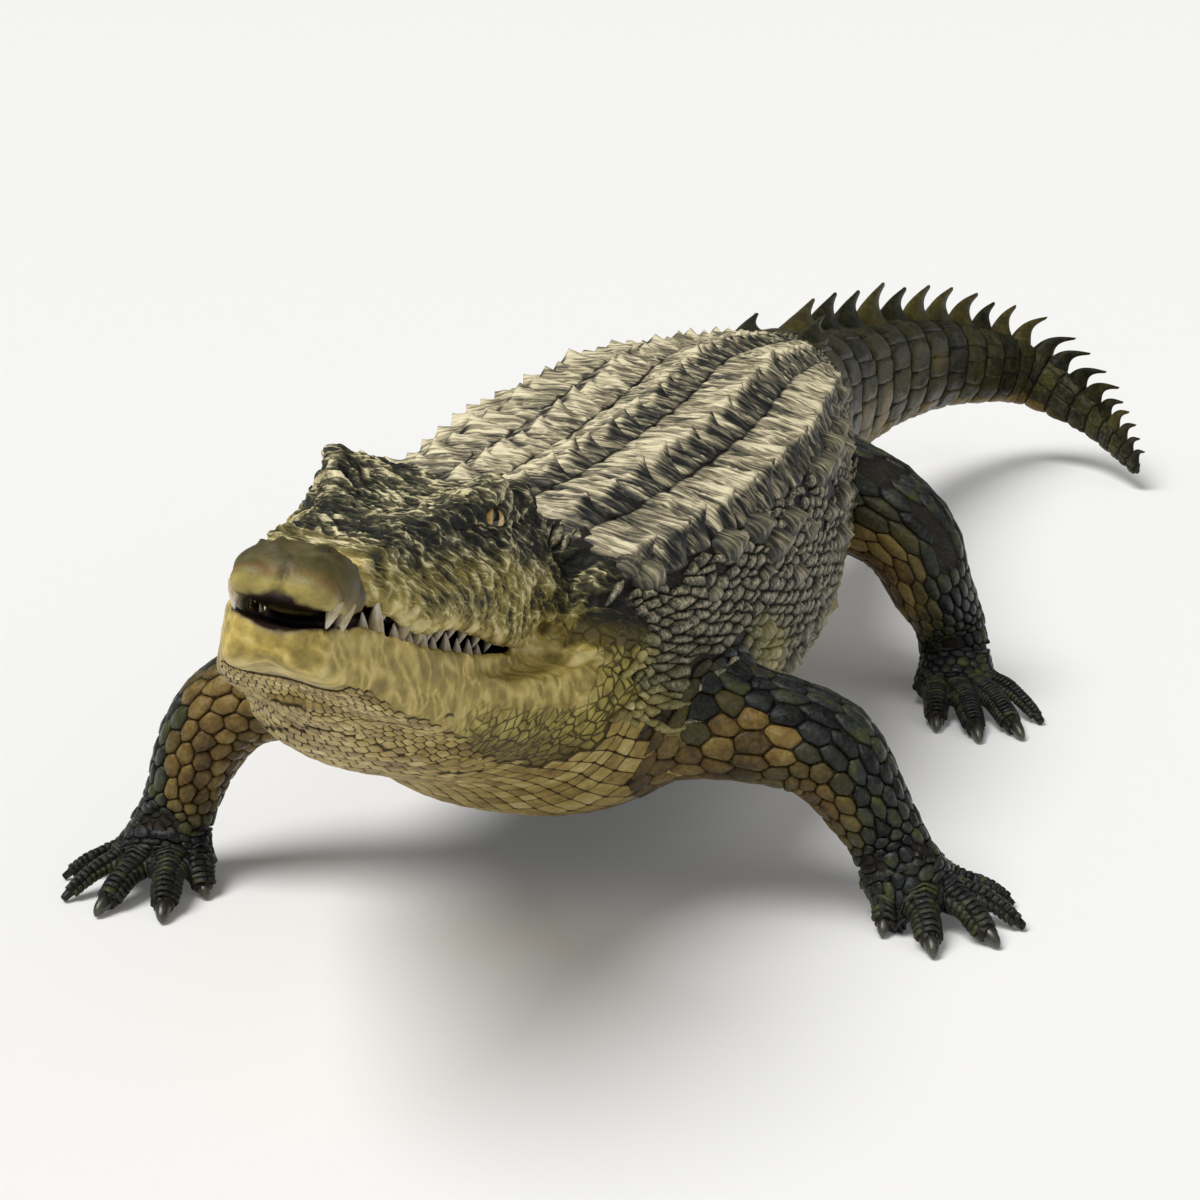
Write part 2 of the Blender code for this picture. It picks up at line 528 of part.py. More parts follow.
def main():
    for old in list(bpy.data.objects):
        bpy.data.objects.remove(old)
    pale, dark, olive = material("hide_pale", SKIN_PALE), material("hide_dark", SKIN_DARK), material(
        "hide_olive", SKIN_OLIVE)
    claw_finish = material("claw_horn", (.10, .095, .075), .4)
    eye_finish = material("eye", (.45, .25, .05), .1)
    skull, jaw, eyes = build_head(olive, pale, eye_finish)
    neck, trunk, *tail = build_trunk(pale, dark, dark)
    cut(jaw, [skull])
    cut(neck, [skull])
    cut(neck, [jaw], SWELL * 1.3)
    body = [neck, trunk]
    made = [skull, jaw, *eyes, neck, trunk, *tail]
    arms = (("front_left", ARM_LEFT, HAND_LEFT), ("front_right", ARM_RIGHT, HAND_RIGHT))
    legs = (("hind_left", LEG_LEFT, FOOT_LEFT), ("hind_right", LEG_RIGHT, FOOT_RIGHT))
    for prefix, limb, digits in arms:
        made += build_limb(prefix, ("upper_arm", "forearm", "hand"), limb, (.52, .80), digits, body, dark,
                           claw_finish)
    for prefix, limb, digits in legs:
        made += build_limb(prefix, ("thigh", "shank", "foot"), limb, (.56, .81), digits, [trunk, tail[0]],
                           dark, claw_finish)
    corners = np.array([piece.matrix_world @ v.co for piece in made for v in piece.data.vertices])
    low, high = corners.min(axis=0), corners.max(axis=0)
    shift = -np.array([(low[0] + high[0]) / 2, (low[1] + high[1]) / 2, low[2]])
    for part in made:
        flat = np.empty(len(part.data.vertices) * 3)
        part.data.vertices.foreach_get("co", flat)
        part.data.vertices.foreach_set("co", (flat.reshape(-1, 3) + shift).ravel())
        part.data.update()


main()
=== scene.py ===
"""Nile crocodile, a still life-size museum model: one skin with horny scales, crest, teeth and claws."""

import logging
from dataclasses import dataclass, field
from enum import Enum
from functools import partial

import bpy
import numpy as np
from mathutils.bvhtree import BVHTree
from mathutils.kdtree import KDTree
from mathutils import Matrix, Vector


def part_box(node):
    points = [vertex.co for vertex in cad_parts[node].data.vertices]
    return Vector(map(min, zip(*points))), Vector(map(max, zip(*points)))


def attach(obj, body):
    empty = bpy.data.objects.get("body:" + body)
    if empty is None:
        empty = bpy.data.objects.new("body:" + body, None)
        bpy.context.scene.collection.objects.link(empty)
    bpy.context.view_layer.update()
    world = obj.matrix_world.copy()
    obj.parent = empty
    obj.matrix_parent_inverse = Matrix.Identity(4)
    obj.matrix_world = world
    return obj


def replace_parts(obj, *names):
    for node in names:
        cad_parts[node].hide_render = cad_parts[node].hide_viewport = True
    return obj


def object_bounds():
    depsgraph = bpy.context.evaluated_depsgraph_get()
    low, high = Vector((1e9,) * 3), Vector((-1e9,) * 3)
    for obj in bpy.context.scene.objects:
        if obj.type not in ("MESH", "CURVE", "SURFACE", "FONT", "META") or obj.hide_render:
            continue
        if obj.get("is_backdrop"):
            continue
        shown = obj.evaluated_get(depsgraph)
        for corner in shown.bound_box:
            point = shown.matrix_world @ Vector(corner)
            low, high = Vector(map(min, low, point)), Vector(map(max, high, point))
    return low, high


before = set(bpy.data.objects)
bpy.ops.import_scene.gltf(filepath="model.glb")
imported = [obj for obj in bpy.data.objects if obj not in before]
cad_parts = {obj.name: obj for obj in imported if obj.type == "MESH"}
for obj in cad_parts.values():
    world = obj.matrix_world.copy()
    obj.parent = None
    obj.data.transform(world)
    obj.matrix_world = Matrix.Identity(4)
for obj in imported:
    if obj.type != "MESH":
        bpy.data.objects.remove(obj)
CAD_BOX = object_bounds()
log = logging.getLogger("crocodile")
Array = np.ndarray
Table = tuple[tuple[float, ...], ...]

HEAD_LENGTH = 0.56
SNOUT_TIP = (0.0147, -1.1883, 0.5071)
HEAD_YAW, HEAD_PITCH, HEAD_ROLL = (9.85, -14.83, 9.76)
MOUTH_CORNER = 0.88
EYE_PLACE = (0.129, 0.69, 0.166)
EYE_RADIUS = 0.0165

# Head tables: share of the head length behind the snout tip, then the value in head lengths.
UPPER_WIDTH = ((0, .08), (.05, .083), (.12, .086), (.17, .086), (.22, .106), (.3, .14), (.4, .152),
               (.5, .16), (.6, .175), (.7, .192), (.8, .207), (.88, .222), (1.0, .25), (1.16, .262))
UPPER_LIP = ((0, .005), (.05, .004), (.11, .003), (.17, .014), (.22, .008), (.29, -.01), (.4, -.006),
             (.5, -.006), (.6, -.014), (.7, -.026), (.8, -.032), (.88, -.034), (1.16, -.034))
RIDGE_WIDTH = ((0, .045), (.05, .05), (.12, .06), (.2, .07), (.3, .07), (.4, .072), (.5, .08),
               (.6, .102), (.67, .124), (.73, .128), (.8, .128), (.95, .135), (1.0, .132), (1.16, .12))
RIDGE_HEIGHT = ((0, .05), (.05, .06), (.12, .072), (.2, .094), (.3, .113), (.4, .128), (.5, .151),
                (.6, .182), (.67, .222), (.73, .222), (.8, .215), (.95, .232), (1.02, .215), (1.16, .15))
CROWN = ((0, .075), (.05, .078), (.1, .082), (.2, .092), (.3, .108), (.4, .122), (.5, .135),
         (.6, .148), (.67, .163), (.75, .185), (.85, .205), (.95, .218), (1.02, .208), (1.16, .16))
JAW_WIDTH = ((0, .07), (.05, .075), (.15, .106), (.3, .146), (.45, .17), (.6, .187), (.75, .202),
             (.88, .222), (1.0, .262), (1.1, .29), (1.2, .29))
JAW_LIP = ((0, -.004), (.05, -.005), (.15, -.004), (.22, -.011), (.3, -.024), (.45, -.033), (.6, -.038),
           (.75, -.04), (.88, -.035), (1.2, -.035))
JAW_EDGE = ((0, -.075), (.05, -.084), (.15, -.103), (.3, -.136), (.45, -.16), (.6, -.185),
            (.75, -.209), (.88, -.214), (1.0, -.189), (1.1, -.147), (1.2, -.12))

# Path tables. Each row: x, y, z, half width, height above, depth below, squareness.
BODY = (
    (-.02, -1.06, .41, .045, .008, .02, 2.0), (-.03, -.95, .385, .085, .012, .055, 2.1),
    (-.05, -.85, .352, .122, .008, .08, 2.2), (-.062, -.76, .332, .15, .006, .104, 2.2),
    (-.07, -.69, .33, .172, .012, .135, 2.2), (-.07, -.64, .33, .184, .06, .155, 2.2),
    (-.066, -.59, .326, .194, .13, .175, 2.3),
    (-.05, -.5, .31, .212, .155, .205, 2.5), (-.038, -.35, .3, .23, .17, .22, 2.6),
    (-.032, -.1, .295, .243, .19, .212, 2.5), (-.045, .15, .295, .232, .195, .195, 2.4),
    (-.048, .4, .305, .188, .165, .165, 2.2), (-.04, .6, .31, .14, .14, .145, 2.2),
    (-.035, .8, .305, .105, .12, .135, 2.3), (-.02, 1.1, .29, .08, .1, .12, 2.4),
    (.03, 1.5, .265, .06, .085, .095, 2.5), (.11, 1.82, .225, .046, .072, .078, 2.5),
    (.215, 1.98, .178, .034, .055, .06, 2.4), (.33, 1.94, .12, .022, .038, .04, 2.3),
    (.41, 1.84, .07, .012, .022, .022, 2.2), (.455, 1.755, .04, .005, .009, .009, 2.0))
# The trunk's midline, which lies right of the tables' middle.
BODY_MIDDLE = -.045

ARM_LEFT = (
    (.08, -.47, .225, .07, .085, .085, 2), (.19, -.455, .205, .06, .072, .072, 2),
    (.275, -.44, .186, .055, .06, .06, 2), (.318, -.43, .128, .045, .05, .05, 2),
    (.348, -.425, .08, .04, .038, .042, 2), (.364, -.437, .05, .045, .03, .034, 2))
ARM_RIGHT = (
    (-.16, -.5, .25, .07, .085, .085, 2), (-.26, -.52, .235, .06, .072, .072, 2),
    (-.35, -.54, .2, .052, .06, .06, 2), (-.392, -.548, .135, .044, .048, .048, 2),
    (-.412, -.548, .08, .04, .038, .042, 2), (-.424, -.562, .05, .045, .03, .034, 2))
LEG_LEFT = (
    (.01, .44, .275, .095, .11, .12, 2), (.125, .37, .272, .08, .095, .1, 2),
    (.2, .322, .262, .07, .08, .085, 2), (.246, .31, .225, .064, .068, .072, 2),
    (.266, .325, .17, .056, .055, .058, 2),
    (.292, .375, .1, .048, .045, .048, 2), (.304, .372, .06, .05, .036, .042, 2))
LEG_RIGHT = (
    (-.1, .44, .275, .095, .11, .12, 2), (-.25, .345, .285, .082, .09, .095, 2),
    (-.365, .275, .278, .072, .08, .085, 2), (-.424, .262, .244, .064, .068, .072, 2),
    (-.45, .29, .185, .056, .055, .058, 2),
    (-.455, .355, .1, .048, .045, .048, 2), (-.46, .36, .06, .05, .036, .042, 2))

# Digits: base x, y; tip x, y; base radius; tip radius; True where it ends in a claw.
HAND_LEFT = ((.35, -.425, .354, -.497, .017, .011, True), (.377, -.438, .413, -.534, .0195, .012, True),
             (.4, -.43, .472, -.49, .0185, .0115, True), (.405, -.415, .493, -.434, .016, .0065, False),
             (.4, -.398, .474, -.373, .014, .0058, False))
HAND_RIGHT = ((-.392, -.56, -.355, -.606, .017, .011, True), (-.408, -.575, -.37, -.679, .0195, .012, True),
              (-.43, -.578, -.444, -.684, .0185, .0115, True), (-.448, -.568, -.5, -.656, .016, .0065, False),
              (-.452, -.552, -.532, -.598, .014, .0058, False))
FOOT_LEFT = ((.285, .3, .307, .179, .0185, .012, True), (.312, .3, .367, .151, .02, .0125, True),
             (.33, .32, .419, .179, .02, .012, True), (.345, .345, .436, .253, .0165, .0072, False))
FOOT_RIGHT = tuple((-.17 - a, b - .022, -.17 - c, d - .03, e, f, g) for a, b, c, d, e, f, g in FOOT_LEFT)


def cubic(s: Array, gap: Array, i: Array, value: Array, slope: Array) -> Array:
    """Reads the cubic that leaves row i and meets row i + 1 at their slopes.

    Args:
        s: Shares of the way from row i.
        gap: Distances between the two rows.
        i: The rows' numbers.
        value: Values of all rows.
        slope: Slopes of all rows.

    Returns:
        The values.
    """
    ends = (2 * s**3 - 3 * s**2 + 1) * value[i] + (3 * s**2 - 2 * s**3) * value[i + 1]
    return ends + gap * ((s**3 - 2 * s**2 + s) * slope[i] + (s**3 - s**2) * slope[i + 1])


def curve_value(table: Table, at: Array) -> Array:
    """Reads a smooth curve through a table, held level past its ends.

    Args:
        table: Pairs of position and value.
        at: Positions to read.

    Returns:
        The values, cubic between the pairs.
    """
    x, y = np.asarray(table, float).T
    at = np.clip(at, x[0], x[-1])
    i = np.clip(np.searchsorted(x, at) - 1, 0, len(x) - 2)
    gap = x[i + 1] - x[i]
    return cubic((at - x[i]) / gap, gap, i, y, np.gradient(y, x))


def head_turn() -> Array:
    """Returns the head's turn: rolled, then pitched, then turned to the animal's left."""
    yaw, pitch, roll = np.radians((HEAD_YAW, HEAD_PITCH, HEAD_ROLL))
    turn_z = np.array([[np.cos(yaw), -np.sin(yaw), 0], [np.sin(yaw), np.cos(yaw), 0], [0, 0, 1]])
    turn_x = np.array([[1, 0, 0], [0, np.cos(pitch), -np.sin(pitch)], [0, np.sin(pitch), np.cos(pitch)]])
    turn_y = np.array([[np.cos(roll), 0, np.sin(roll)], [0, 1, 0], [-np.sin(roll), 0, np.cos(roll)]])
    return turn_z @ turn_x @ turn_y


def on_head(points: Array) -> Array:
    """Turns head-length coordinates (left, back, up from the snout tip) into metres."""
    return np.asarray(points, float) * HEAD_LENGTH @ head_turn().T + np.array(SNOUT_TIP)


def off_head(points: Array) -> Array:
    """Turns metres into head-length coordinates, the other way round from on_head."""
    return (points - np.array(SNOUT_TIP)) @ head_turn() / HEAD_LENGTH


def unit(v: Array) -> Array:
    """Returns the vectors at length one."""
    return v / np.maximum(np.linalg.norm(v, axis=-1, keepdims=True), 1e-12)


def rise(x: Array, low: float, high: float) -> Array:
    """Returns 0 below low and 1 above high, with an S-shaped climb between."""
    s = np.clip((np.asarray(x, float) - low) / (high - low), 0, 1)
    return s * s * (3 - 2 * s)


def full_turn(count: int) -> Array:
    """Returns even angles round a full turn, without its end."""
    return np.linspace(0, 2 * np.pi, count, endpoint=False)


def bump_at(x: Array, middle: float, wide: float) -> Array:
    """Returns a bell of height one round the middle."""
    return np.exp(-(((x - middle) / wide) ** 2))


def chance(ids: Array, seed: int) -> Array:
    """Gives each whole number its own steady random share from 0 to 1.

    Args:
        ids: The whole numbers.
        seed: Chooses another set of shares.

    Returns:
        One share per number.
    """
    n = (np.asarray(ids, np.int64) * 374761393 + seed * 668265263 + 1442695041) & 0xFFFFFFFF
    n = ((n ^ (n >> 13)) * 1274126177) & 0xFFFFFFFF
    n = ((n ^ (n >> 16)) * 2246822519) & 0xFFFFFFFF
    return (n ^ (n >> 15)) / 4294967295.0


def grain(points: Array, seed: int = 0) -> Array:
    """Smooth noise from -1 to 1 with lumps about one unit across.

    The value at a point is blended, with an S-shaped weight, from steady random values at the
    eight corners of its unit cell.

    Args:
        points: Places in units of the lump size, any number of rows of three.
        seed: Chooses another pattern.

    Returns:
        One value per place.
    """
    base = np.floor(points).astype(np.int64)
    s = points - base
    s = s * s * (3 - 2 * s)
    total = np.zeros(points.shape[:-1])
    for corner in ((0, 0, 0), (1, 0, 0), (0, 1, 0), (1, 1, 0), (0, 0, 1), (1, 0, 1), (0, 1, 1), (1, 1, 1)):
        c = base + np.array(corner)
        weight = np.prod(np.where(np.array(corner) == 1, s, 1 - s), axis=-1)
        total += weight * chance(c[..., 0] * 73856093 ^ c[..., 1] * 19349663 ^ c[..., 2] * 83492791, seed)
    return total * 2 - 1


def layered(points: Array, layers: int, seed: int = 0) -> Array:
    """Adds noise layers, each half as wide and half as strong as the last."""
    return sum(grain(points * 2**n, seed + n) / 2**n for n in range(layers)) / (2 - 2 ** (1 - layers))


def through(rails: Array, count: int) -> Array:
    """Reads points along a smooth line through each ring's few guide points.

    Args:
        rails: Rings by guide points by two coordinates.
        count: Points wanted on each line.

    Returns:
        Rings by count by two coordinates.
    """
    k = rails.shape[1]
    s = np.linspace(0, k - 1, count)
    i = np.clip(s.astype(int), 0, k - 2)
    s = (s - i)[:, None]
    slope = np.gradient(rails, axis=1)
    slope[:, -1, 1] = 0
    ends = (2 * s**3 - 3 * s**2 + 1) * rails[:, i] + (3 * s**2 - 2 * s**3) * rails[:, i + 1]
    return ends + (s**3 - 2 * s**2 + s) * slope[:, i] + (s**3 - s**2) * slope[:, i + 1]


def head_stations(count: int, last: float, nose: float = 0.05) -> Array:
    """Returns places along the head, close together at the rounded snout tip."""
    front = nose * (1 - np.cos(np.linspace(0.04, np.pi / 2, 12)))
    return np.concatenate([front, np.linspace(nose, last, count - 11)[1:]])


def rounded(t: Array, nose: float = 0.05, power: float = 2.6) -> Array:
    """Returns how full a ring is this near the snout tip, from 0 to 1."""
    short = np.clip((nose - t) / nose, 0, 1)
    return (1 - short**power) ** (1 / power)


def arch(rails: Array, middle: float, full: Array, count: int, lip: float) -> Array:
    """Makes both halves of an arch from its left half's guide points, shrunk about the middle.

    Args:
        rails: Guide points of the left half.
        middle: The height it shrinks about.
        full: How full each ring is.
        count: Points on each half.
        lip: The lip's rough height; the side of the middle that it is on shrinks less.

    Returns:
        Rings of points across and up.
    """
    half = through(rails, count)
    line = np.concatenate([half, (half[:, ::-1] * [-1, 1])[:, 1:]], 1) - [0, middle]
    toward_lip = line[..., 1] * np.sign(lip - middle) > 0
    line[..., 0] *= full[:, None]
    line[..., 1] *= np.where(toward_lip, full[:, None] ** .3, full[:, None])
    return line + [0, middle]


def vaulted(line: Array, t: Array, width: Array, share: float, x: Array, dome: float) -> Array:
    """Closes an arch's rings across its open side, vaulted within the mouth.

    The vault is as high as the root of one less the square of the share across.

    Args:
        line: The arch, rings of points across and up.
        t: Shares of the head's length behind the snout tip.
        width: Half width of each ring.
        share: How much of it the open side takes.
        x: Places across the open side, from the arch's end to its start.
        dome: The vault's height in head lengths.

    Returns:
        Rings by points by three, in metres.
    """
    inside = np.clip((MOUTH_CORNER - t) / .1, 0, 1)[:, None]
    full = rounded(t)[:, None]
    up = line[:, :1, 1] + dome * inside * full * (1 - x**2) ** .5
    ring = np.concatenate([line, np.stack([x * width[:, None] * share * full, up], -1)], 1)
    back = np.broadcast_to(t[:, None, None], ring[..., :1].shape)
    return on_head(np.concatenate([ring[..., :1], back, ring[..., 1:]], -1))


def upper_rings(t: Array, count: int, palate: int = 7) -> Array:
    """Closed rings of skull and snout: over the top from the left lip, then back by the palate.

    Args:
        t: Shares of the head's length behind the snout tip.
        count: Points on each half of the arch.
        palate: Points across the roof of the mouth.

    Returns:
        Rings by points by three, in metres.
    """
    width, lip = curve_value(UPPER_WIDTH, t), curve_value(UPPER_LIP, t)
    side, high = curve_value(RIDGE_WIDTH, t), curve_value(RIDGE_HEIGHT, t)
    tall = high - lip
    rails = np.stack([np.stack(pair, -1) for pair in (
        (width * .9, lip), (width, lip + .4 * tall), (.35 * width + .65 * side, lip + .78 * tall),
        (side, high), (0 * t, curve_value(CROWN, t)))], 1)
    over = arch(rails, .035, rounded(t), count, -.01)
    return vaulted(over, t, width, .9, np.linspace(-1, 1, palate + 2)[1:-1], .03)


def jaw_rings(t: Array, count: int, floor: int = 7) -> Array:
    """Closed rings of the lower jaw: round below from one lip, then back by the mouth's floor.

    Args:
        t: Shares of the head's length behind the snout tip.
        count: Points on each half of the arch.
        floor: Points across the floor of the mouth.

    Returns:
        Rings by points by three, in metres.
    """
    width, lip = curve_value(JAW_WIDTH, t), curve_value(JAW_LIP, t)
    deep = curve_value(JAW_EDGE, t) - lip
    rails = np.stack([np.stack(pair, -1) for pair in (
        (width * .96, lip), (width * 1.01, lip + .45 * deep), (width * .94, lip + .93 * deep),
        (width * .6, lip + 1.02 * deep), (0 * t, lip + .95 * deep))], 1)
    under = arch(rails, -.055, rounded(t), count, -.03)[:, ::-1]
    return vaulted(under, t, width, .96, np.linspace(-1, 1, floor + 2)[-2:0:-1], -.018)


def resampled(rows: Table, at: Array) -> Array:
    """Reads the rows of a path table between its points, by share of the path's length.

    Args:
        rows: Rows that start with x, y and z.
        at: Shares of the length from 0 to 1.

    Returns:
        One row per share, cubic between the table's rows.
    """
    rows = np.asarray(rows, float)
    step = np.linalg.norm(np.diff(rows[:, :3], axis=0), axis=1)
    x = np.concatenate([[0], np.cumsum(step)])
    at = np.asarray(at) * x[-1]
    i = np.clip(np.searchsorted(x, at) - 1, 0, len(x) - 2)
    gap = (x[i + 1] - x[i])[:, None]
    return cubic((at - x[i])[:, None] / gap, gap, i, rows, np.gradient(rows, x, axis=0))


def path_frames(points: Array, hint: Array, across: bool) -> tuple[Array, Array, Array]:
    """Finds the along, side and up directions at each point of a path.

    Args:
        points: The path.
        hint: A rough side direction if across, else a rough up direction.
        across: Says which of the two the hint is.

    Returns:
        Along, side and up, each one row per point.
    """
    along = unit(np.gradient(points, axis=0))
    hint = np.broadcast_to(np.asarray(hint, float), points.shape)
    side = hint - (hint * along).sum(1, keepdims=True) * along if across else np.cross(along, hint)
    side = unit(side)
    return along, side, np.cross(side, along)


def tube_rings(rows: Table, at: Array, angle: Array, hint: Array = (0, 0, 1), across: bool = False,
               dense: int = 160) -> Array:
    """Rings of a body or limb, each a squared ellipse across the path.

    A point stands at cos(angle) to its power times the half width to the side, and at sin(angle)
    to its power times the height or depth up or down, where the power is 2 over the squareness.

    Args:
        rows: x, y, z, half width, height above, depth below, squareness.
        at: Shares of the path.
        angle: Angles round each ring, 0 at the side and a quarter turn at the top.
        hint: Direction that steadies the rings, as in path_frames.
        across: Says whether the hint is the side direction.
        dense: Points on the path that the directions are worked out at.

    Returns:
        Rings by angles by three, in metres.
    """
    fine = resampled(rows, np.linspace(0, 1, dense))
    _, side, up = path_frames(fine[:, :3], hint, across)
    place = np.asarray(at) * (dense - 1)
    side, up = (np.stack([np.interp(place, np.arange(dense), v[:, j]) for j in range(3)], 1)
                for v in (side, up))
    row = resampled(rows, at)
    c, s = np.cos(angle), np.sin(angle)
    power = 2 / row[:, 6:7]
    out = np.sign(c) * np.abs(c) ** power * row[:, 3:4]
    lift = np.sign(s) * np.abs(s) ** power * np.where(s > 0, row[:, 4:5], row[:, 5:6])
    return row[:, None, :3] + out[..., None] * side[:, None] + lift[..., None] * up[:, None]


SHIFT = np.mean(np.array(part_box("eye_left"), float), axis=0) - on_head(np.array(EYE_PLACE))


def new_piece(name: str, points: Array, faces: Array, finish: bpy.types.Material, slot: str,
              values: dict[str, Array], bake: Array | None = None) -> bpy.types.Object:
    """Puts whole arrays into a mesh, dresses it and lets it ride on the body.

    Args:
        name: The piece's name.
        points: Places in the maker's frame, in metres.
        faces: Triangles or quads as rows of point numbers.
        finish: The material.
        slot: Not used.
        values: Numbers per point that the material reads, by attribute name.
        bake: One u, v pair per point for the OFBake map.

    Returns:
        The object, at the origin.
    """
    mesh = bpy.data.meshes.new(name)
    count, corners = faces.shape
    mesh.vertices.add(len(points))
    mesh.vertices.foreach_set("co", (points + SHIFT).astype(np.float32).ravel())
    mesh.loops.add(count * corners)
    mesh.loops.foreach_set("vertex_index", faces.astype(np.int32).ravel())
    mesh.polygons.add(count)
    mesh.polygons.foreach_set("loop_start", np.arange(0, count * corners, corners, dtype=np.int32))
    mesh.polygons.foreach_set("loop_total", np.full(count, corners, np.int32))
    mesh.polygons.foreach_set("use_smooth", np.ones(count, bool))
    mesh.update(calc_edges=True)
    for key, value in values.items():
        mesh.attributes.new(key, "FLOAT", "POINT").data.foreach_set("value", value.astype(np.float32))
    if bake is not None:
        layer = mesh.uv_layers.new(name="OFBake")
        layer.data.foreach_set("uv", bake[faces.ravel()].astype(np.float32).ravel())
    mesh.materials.append(finish)
    piece = bpy.data.objects.new(name, mesh)
    bpy.context.scene.collection.objects.link(piece)
    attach(piece, "root")
    log.info("%s: %d faces of %d corners", name, count, corners)
    return piece


def closed_tube(rings: Array) -> tuple[Array, Array]:
    """Turns rings into a closed shell of triangles, with a fan on each end.

    Args:
        rings: Rings by points by three.

    Returns:
        Points and triangles.
    """
    n, m = rings.shape[:2]
    points = np.concatenate([rings.reshape(-1, 3), [rings[0].mean(0), rings[-1].mean(0)]])
    i, j = np.meshgrid(np.arange(n - 1), np.arange(m), indexing="ij")
    k = (j + 1) % m
    quads = np.stack([i * m + j, i * m + k, (i + 1) * m + k, (i + 1) * m + j], -1).reshape(-1, 4)
    sides = np.concatenate([quads[:, [0, 1, 2]], quads[:, [0, 2, 3]]])
    j = np.arange(m)
    front = np.stack([j * 0 + n * m, (j + 1) % m, j], -1)
    back = np.stack([j * 0 + n * m + 1, (n - 1) * m + j, (n - 1) * m + (j + 1) % m], -1)
    return points, np.concatenate([sides, front, back])


def outward(points: Array, faces: Array) -> Array:
    """Turns a closed shell's triangles round if its volume comes out negative."""
    a, b, c = (points[faces[:, n]] for n in range(3))
    return faces[:, ::-1] if (a * np.cross(b, c)).sum() < 0 else faces


def joined(parts: list[tuple[Array, Array]]) -> tuple[Array, Array]:
    """Joins shells of points and faces into one pair of arrays."""
    starts = np.cumsum([0] + [len(points) for points, _ in parts[:-1]])
    return (np.concatenate([points for points, _ in parts]),
            np.concatenate([faces + first for (_, faces), first in zip(parts, starts)]))


def point_normals(points: Array, faces: Array) -> Array:
    """Returns each point's outward direction, the sum of its triangles' cross products.

    Args:
        points: The mesh's points.
        faces: Its triangles.

    Returns:
        Directions at length one.
    """
    a, b, c = (points[faces[:, n]] for n in range(3))
    cross = np.cross(b - a, c - a)
    total = np.zeros_like(points)
    for axis in range(3):
        for n in range(3):
            total[:, axis] += np.bincount(faces[:, n], cross[:, axis], len(points))
    return unit(total)


def relaxed(points: Array, faces: Array, weight: Array, rounds: int) -> Array:
    """Moves points towards the middle of their neighbours.

    Args:
        points: The mesh's points.
        faces: Its triangles.
        weight: How far each point follows, from 0 to 1.
        rounds: Times the move is made.

    Returns:
        The smoothed points.
    """
    a = np.concatenate([faces[:, 0], faces[:, 1], faces[:, 2]])
    b = np.concatenate([faces[:, 1], faces[:, 2], faces[:, 0]])
    near = weight[a] > 1e-3
    a, b = a[near], b[near]
    count = np.maximum(np.bincount(a, minlength=len(points)), 1)[:, None]
    share = (weight * (np.bincount(a, minlength=len(points)) > 0))[:, None] * .6
    for _ in range(rounds):
        mean = np.stack([np.bincount(a, points[b, n], len(points)) for n in range(3)], 1) / count
        points = points + (mean - points) * share
    return points


def linear(code: str) -> tuple[float, float, float, float]:
    """Turns an sRGB hex colour into linear red, green, blue and one."""
    c = np.array([int(code[n:n + 2], 16) for n in (1, 3, 5)]) / 255
    return (*np.where(c <= .04045, c / 12.92, ((c + .055) / 1.055) ** 2.4).tolist(), 1.0)


def set_up(node: bpy.types.Node, settings: dict) -> None:
    """Gives a node its settings and links.

    Args:
        node: The node.
        settings: Its properties by name, its inputs by number or label, each a value or the socket
            that feeds it, and a ramp's stops as pairs of place and hex colour.
    """
    for key, value in settings.items():
        if key == "stops":
            elements = node.color_ramp.elements
            while len(elements) < len(value):
                elements.new(.5)
            for element, (place, code) in zip(elements, value):
                element.position, element.color = place, linear(code)
        elif isinstance(key, str) and hasattr(node, key):
            setattr(node, key, value)
        elif isinstance(value, bpy.types.NodeSocket):
            node.id_data.links.new(value, node.inputs[key])
        else:
            node.inputs[key].default_value = value


def add_node(tree: bpy.types.NodeTree, kind: str, settings: dict, out: int | str = 0) -> bpy.types.NodeSocket:
    """Adds one node with its settings and links.

    Args:
        tree: The material's nodes.
        kind: The node's type name without ShaderNode.
        settings: As in set_up.
        out: The number or label of the output wanted.

    Returns:
        That output's socket.
    """
    node = tree.nodes.new("ShaderNode" + kind)
    set_up(node, settings)
    return node.outputs[out]


def new_finish(name: str) -> tuple[bpy.types.Material, partial, bpy.types.Node]:
    """Starts a material.

    Args:
        name: The material's name.

    Returns:
        The material, add_node with its tree filled in, and its shader.
    """
    finish = bpy.data.materials.new(name)
    finish.use_nodes = True
    tree = finish.node_tree
    return finish, partial(add_node, tree), tree.nodes["Principled BSDF"]


# Input 0 is the share of colour 7 over colour 6, blended plainly or multiplied, out of output 2.
BLEND = {"data_type": "RGBA"}
TINT = {"data_type": "RGBA", "blend_type": "MULTIPLY"}
# Turns and stretches coordinates so that streaks run outwards, and down and back on the sides.
FLOW = {"vector_type": "TEXTURE", "Rotation": (.95, 0.0, 0.0), "Scale": (4.6, 1.0, 3.8)}
# Stretches coordinates so that fibres run across the back and down the sides.
FIBRES = {"vector_type": "TEXTURE", "Rotation": (.45, 0.0, 0.0), "Scale": (9.0, .9, 6.5)}


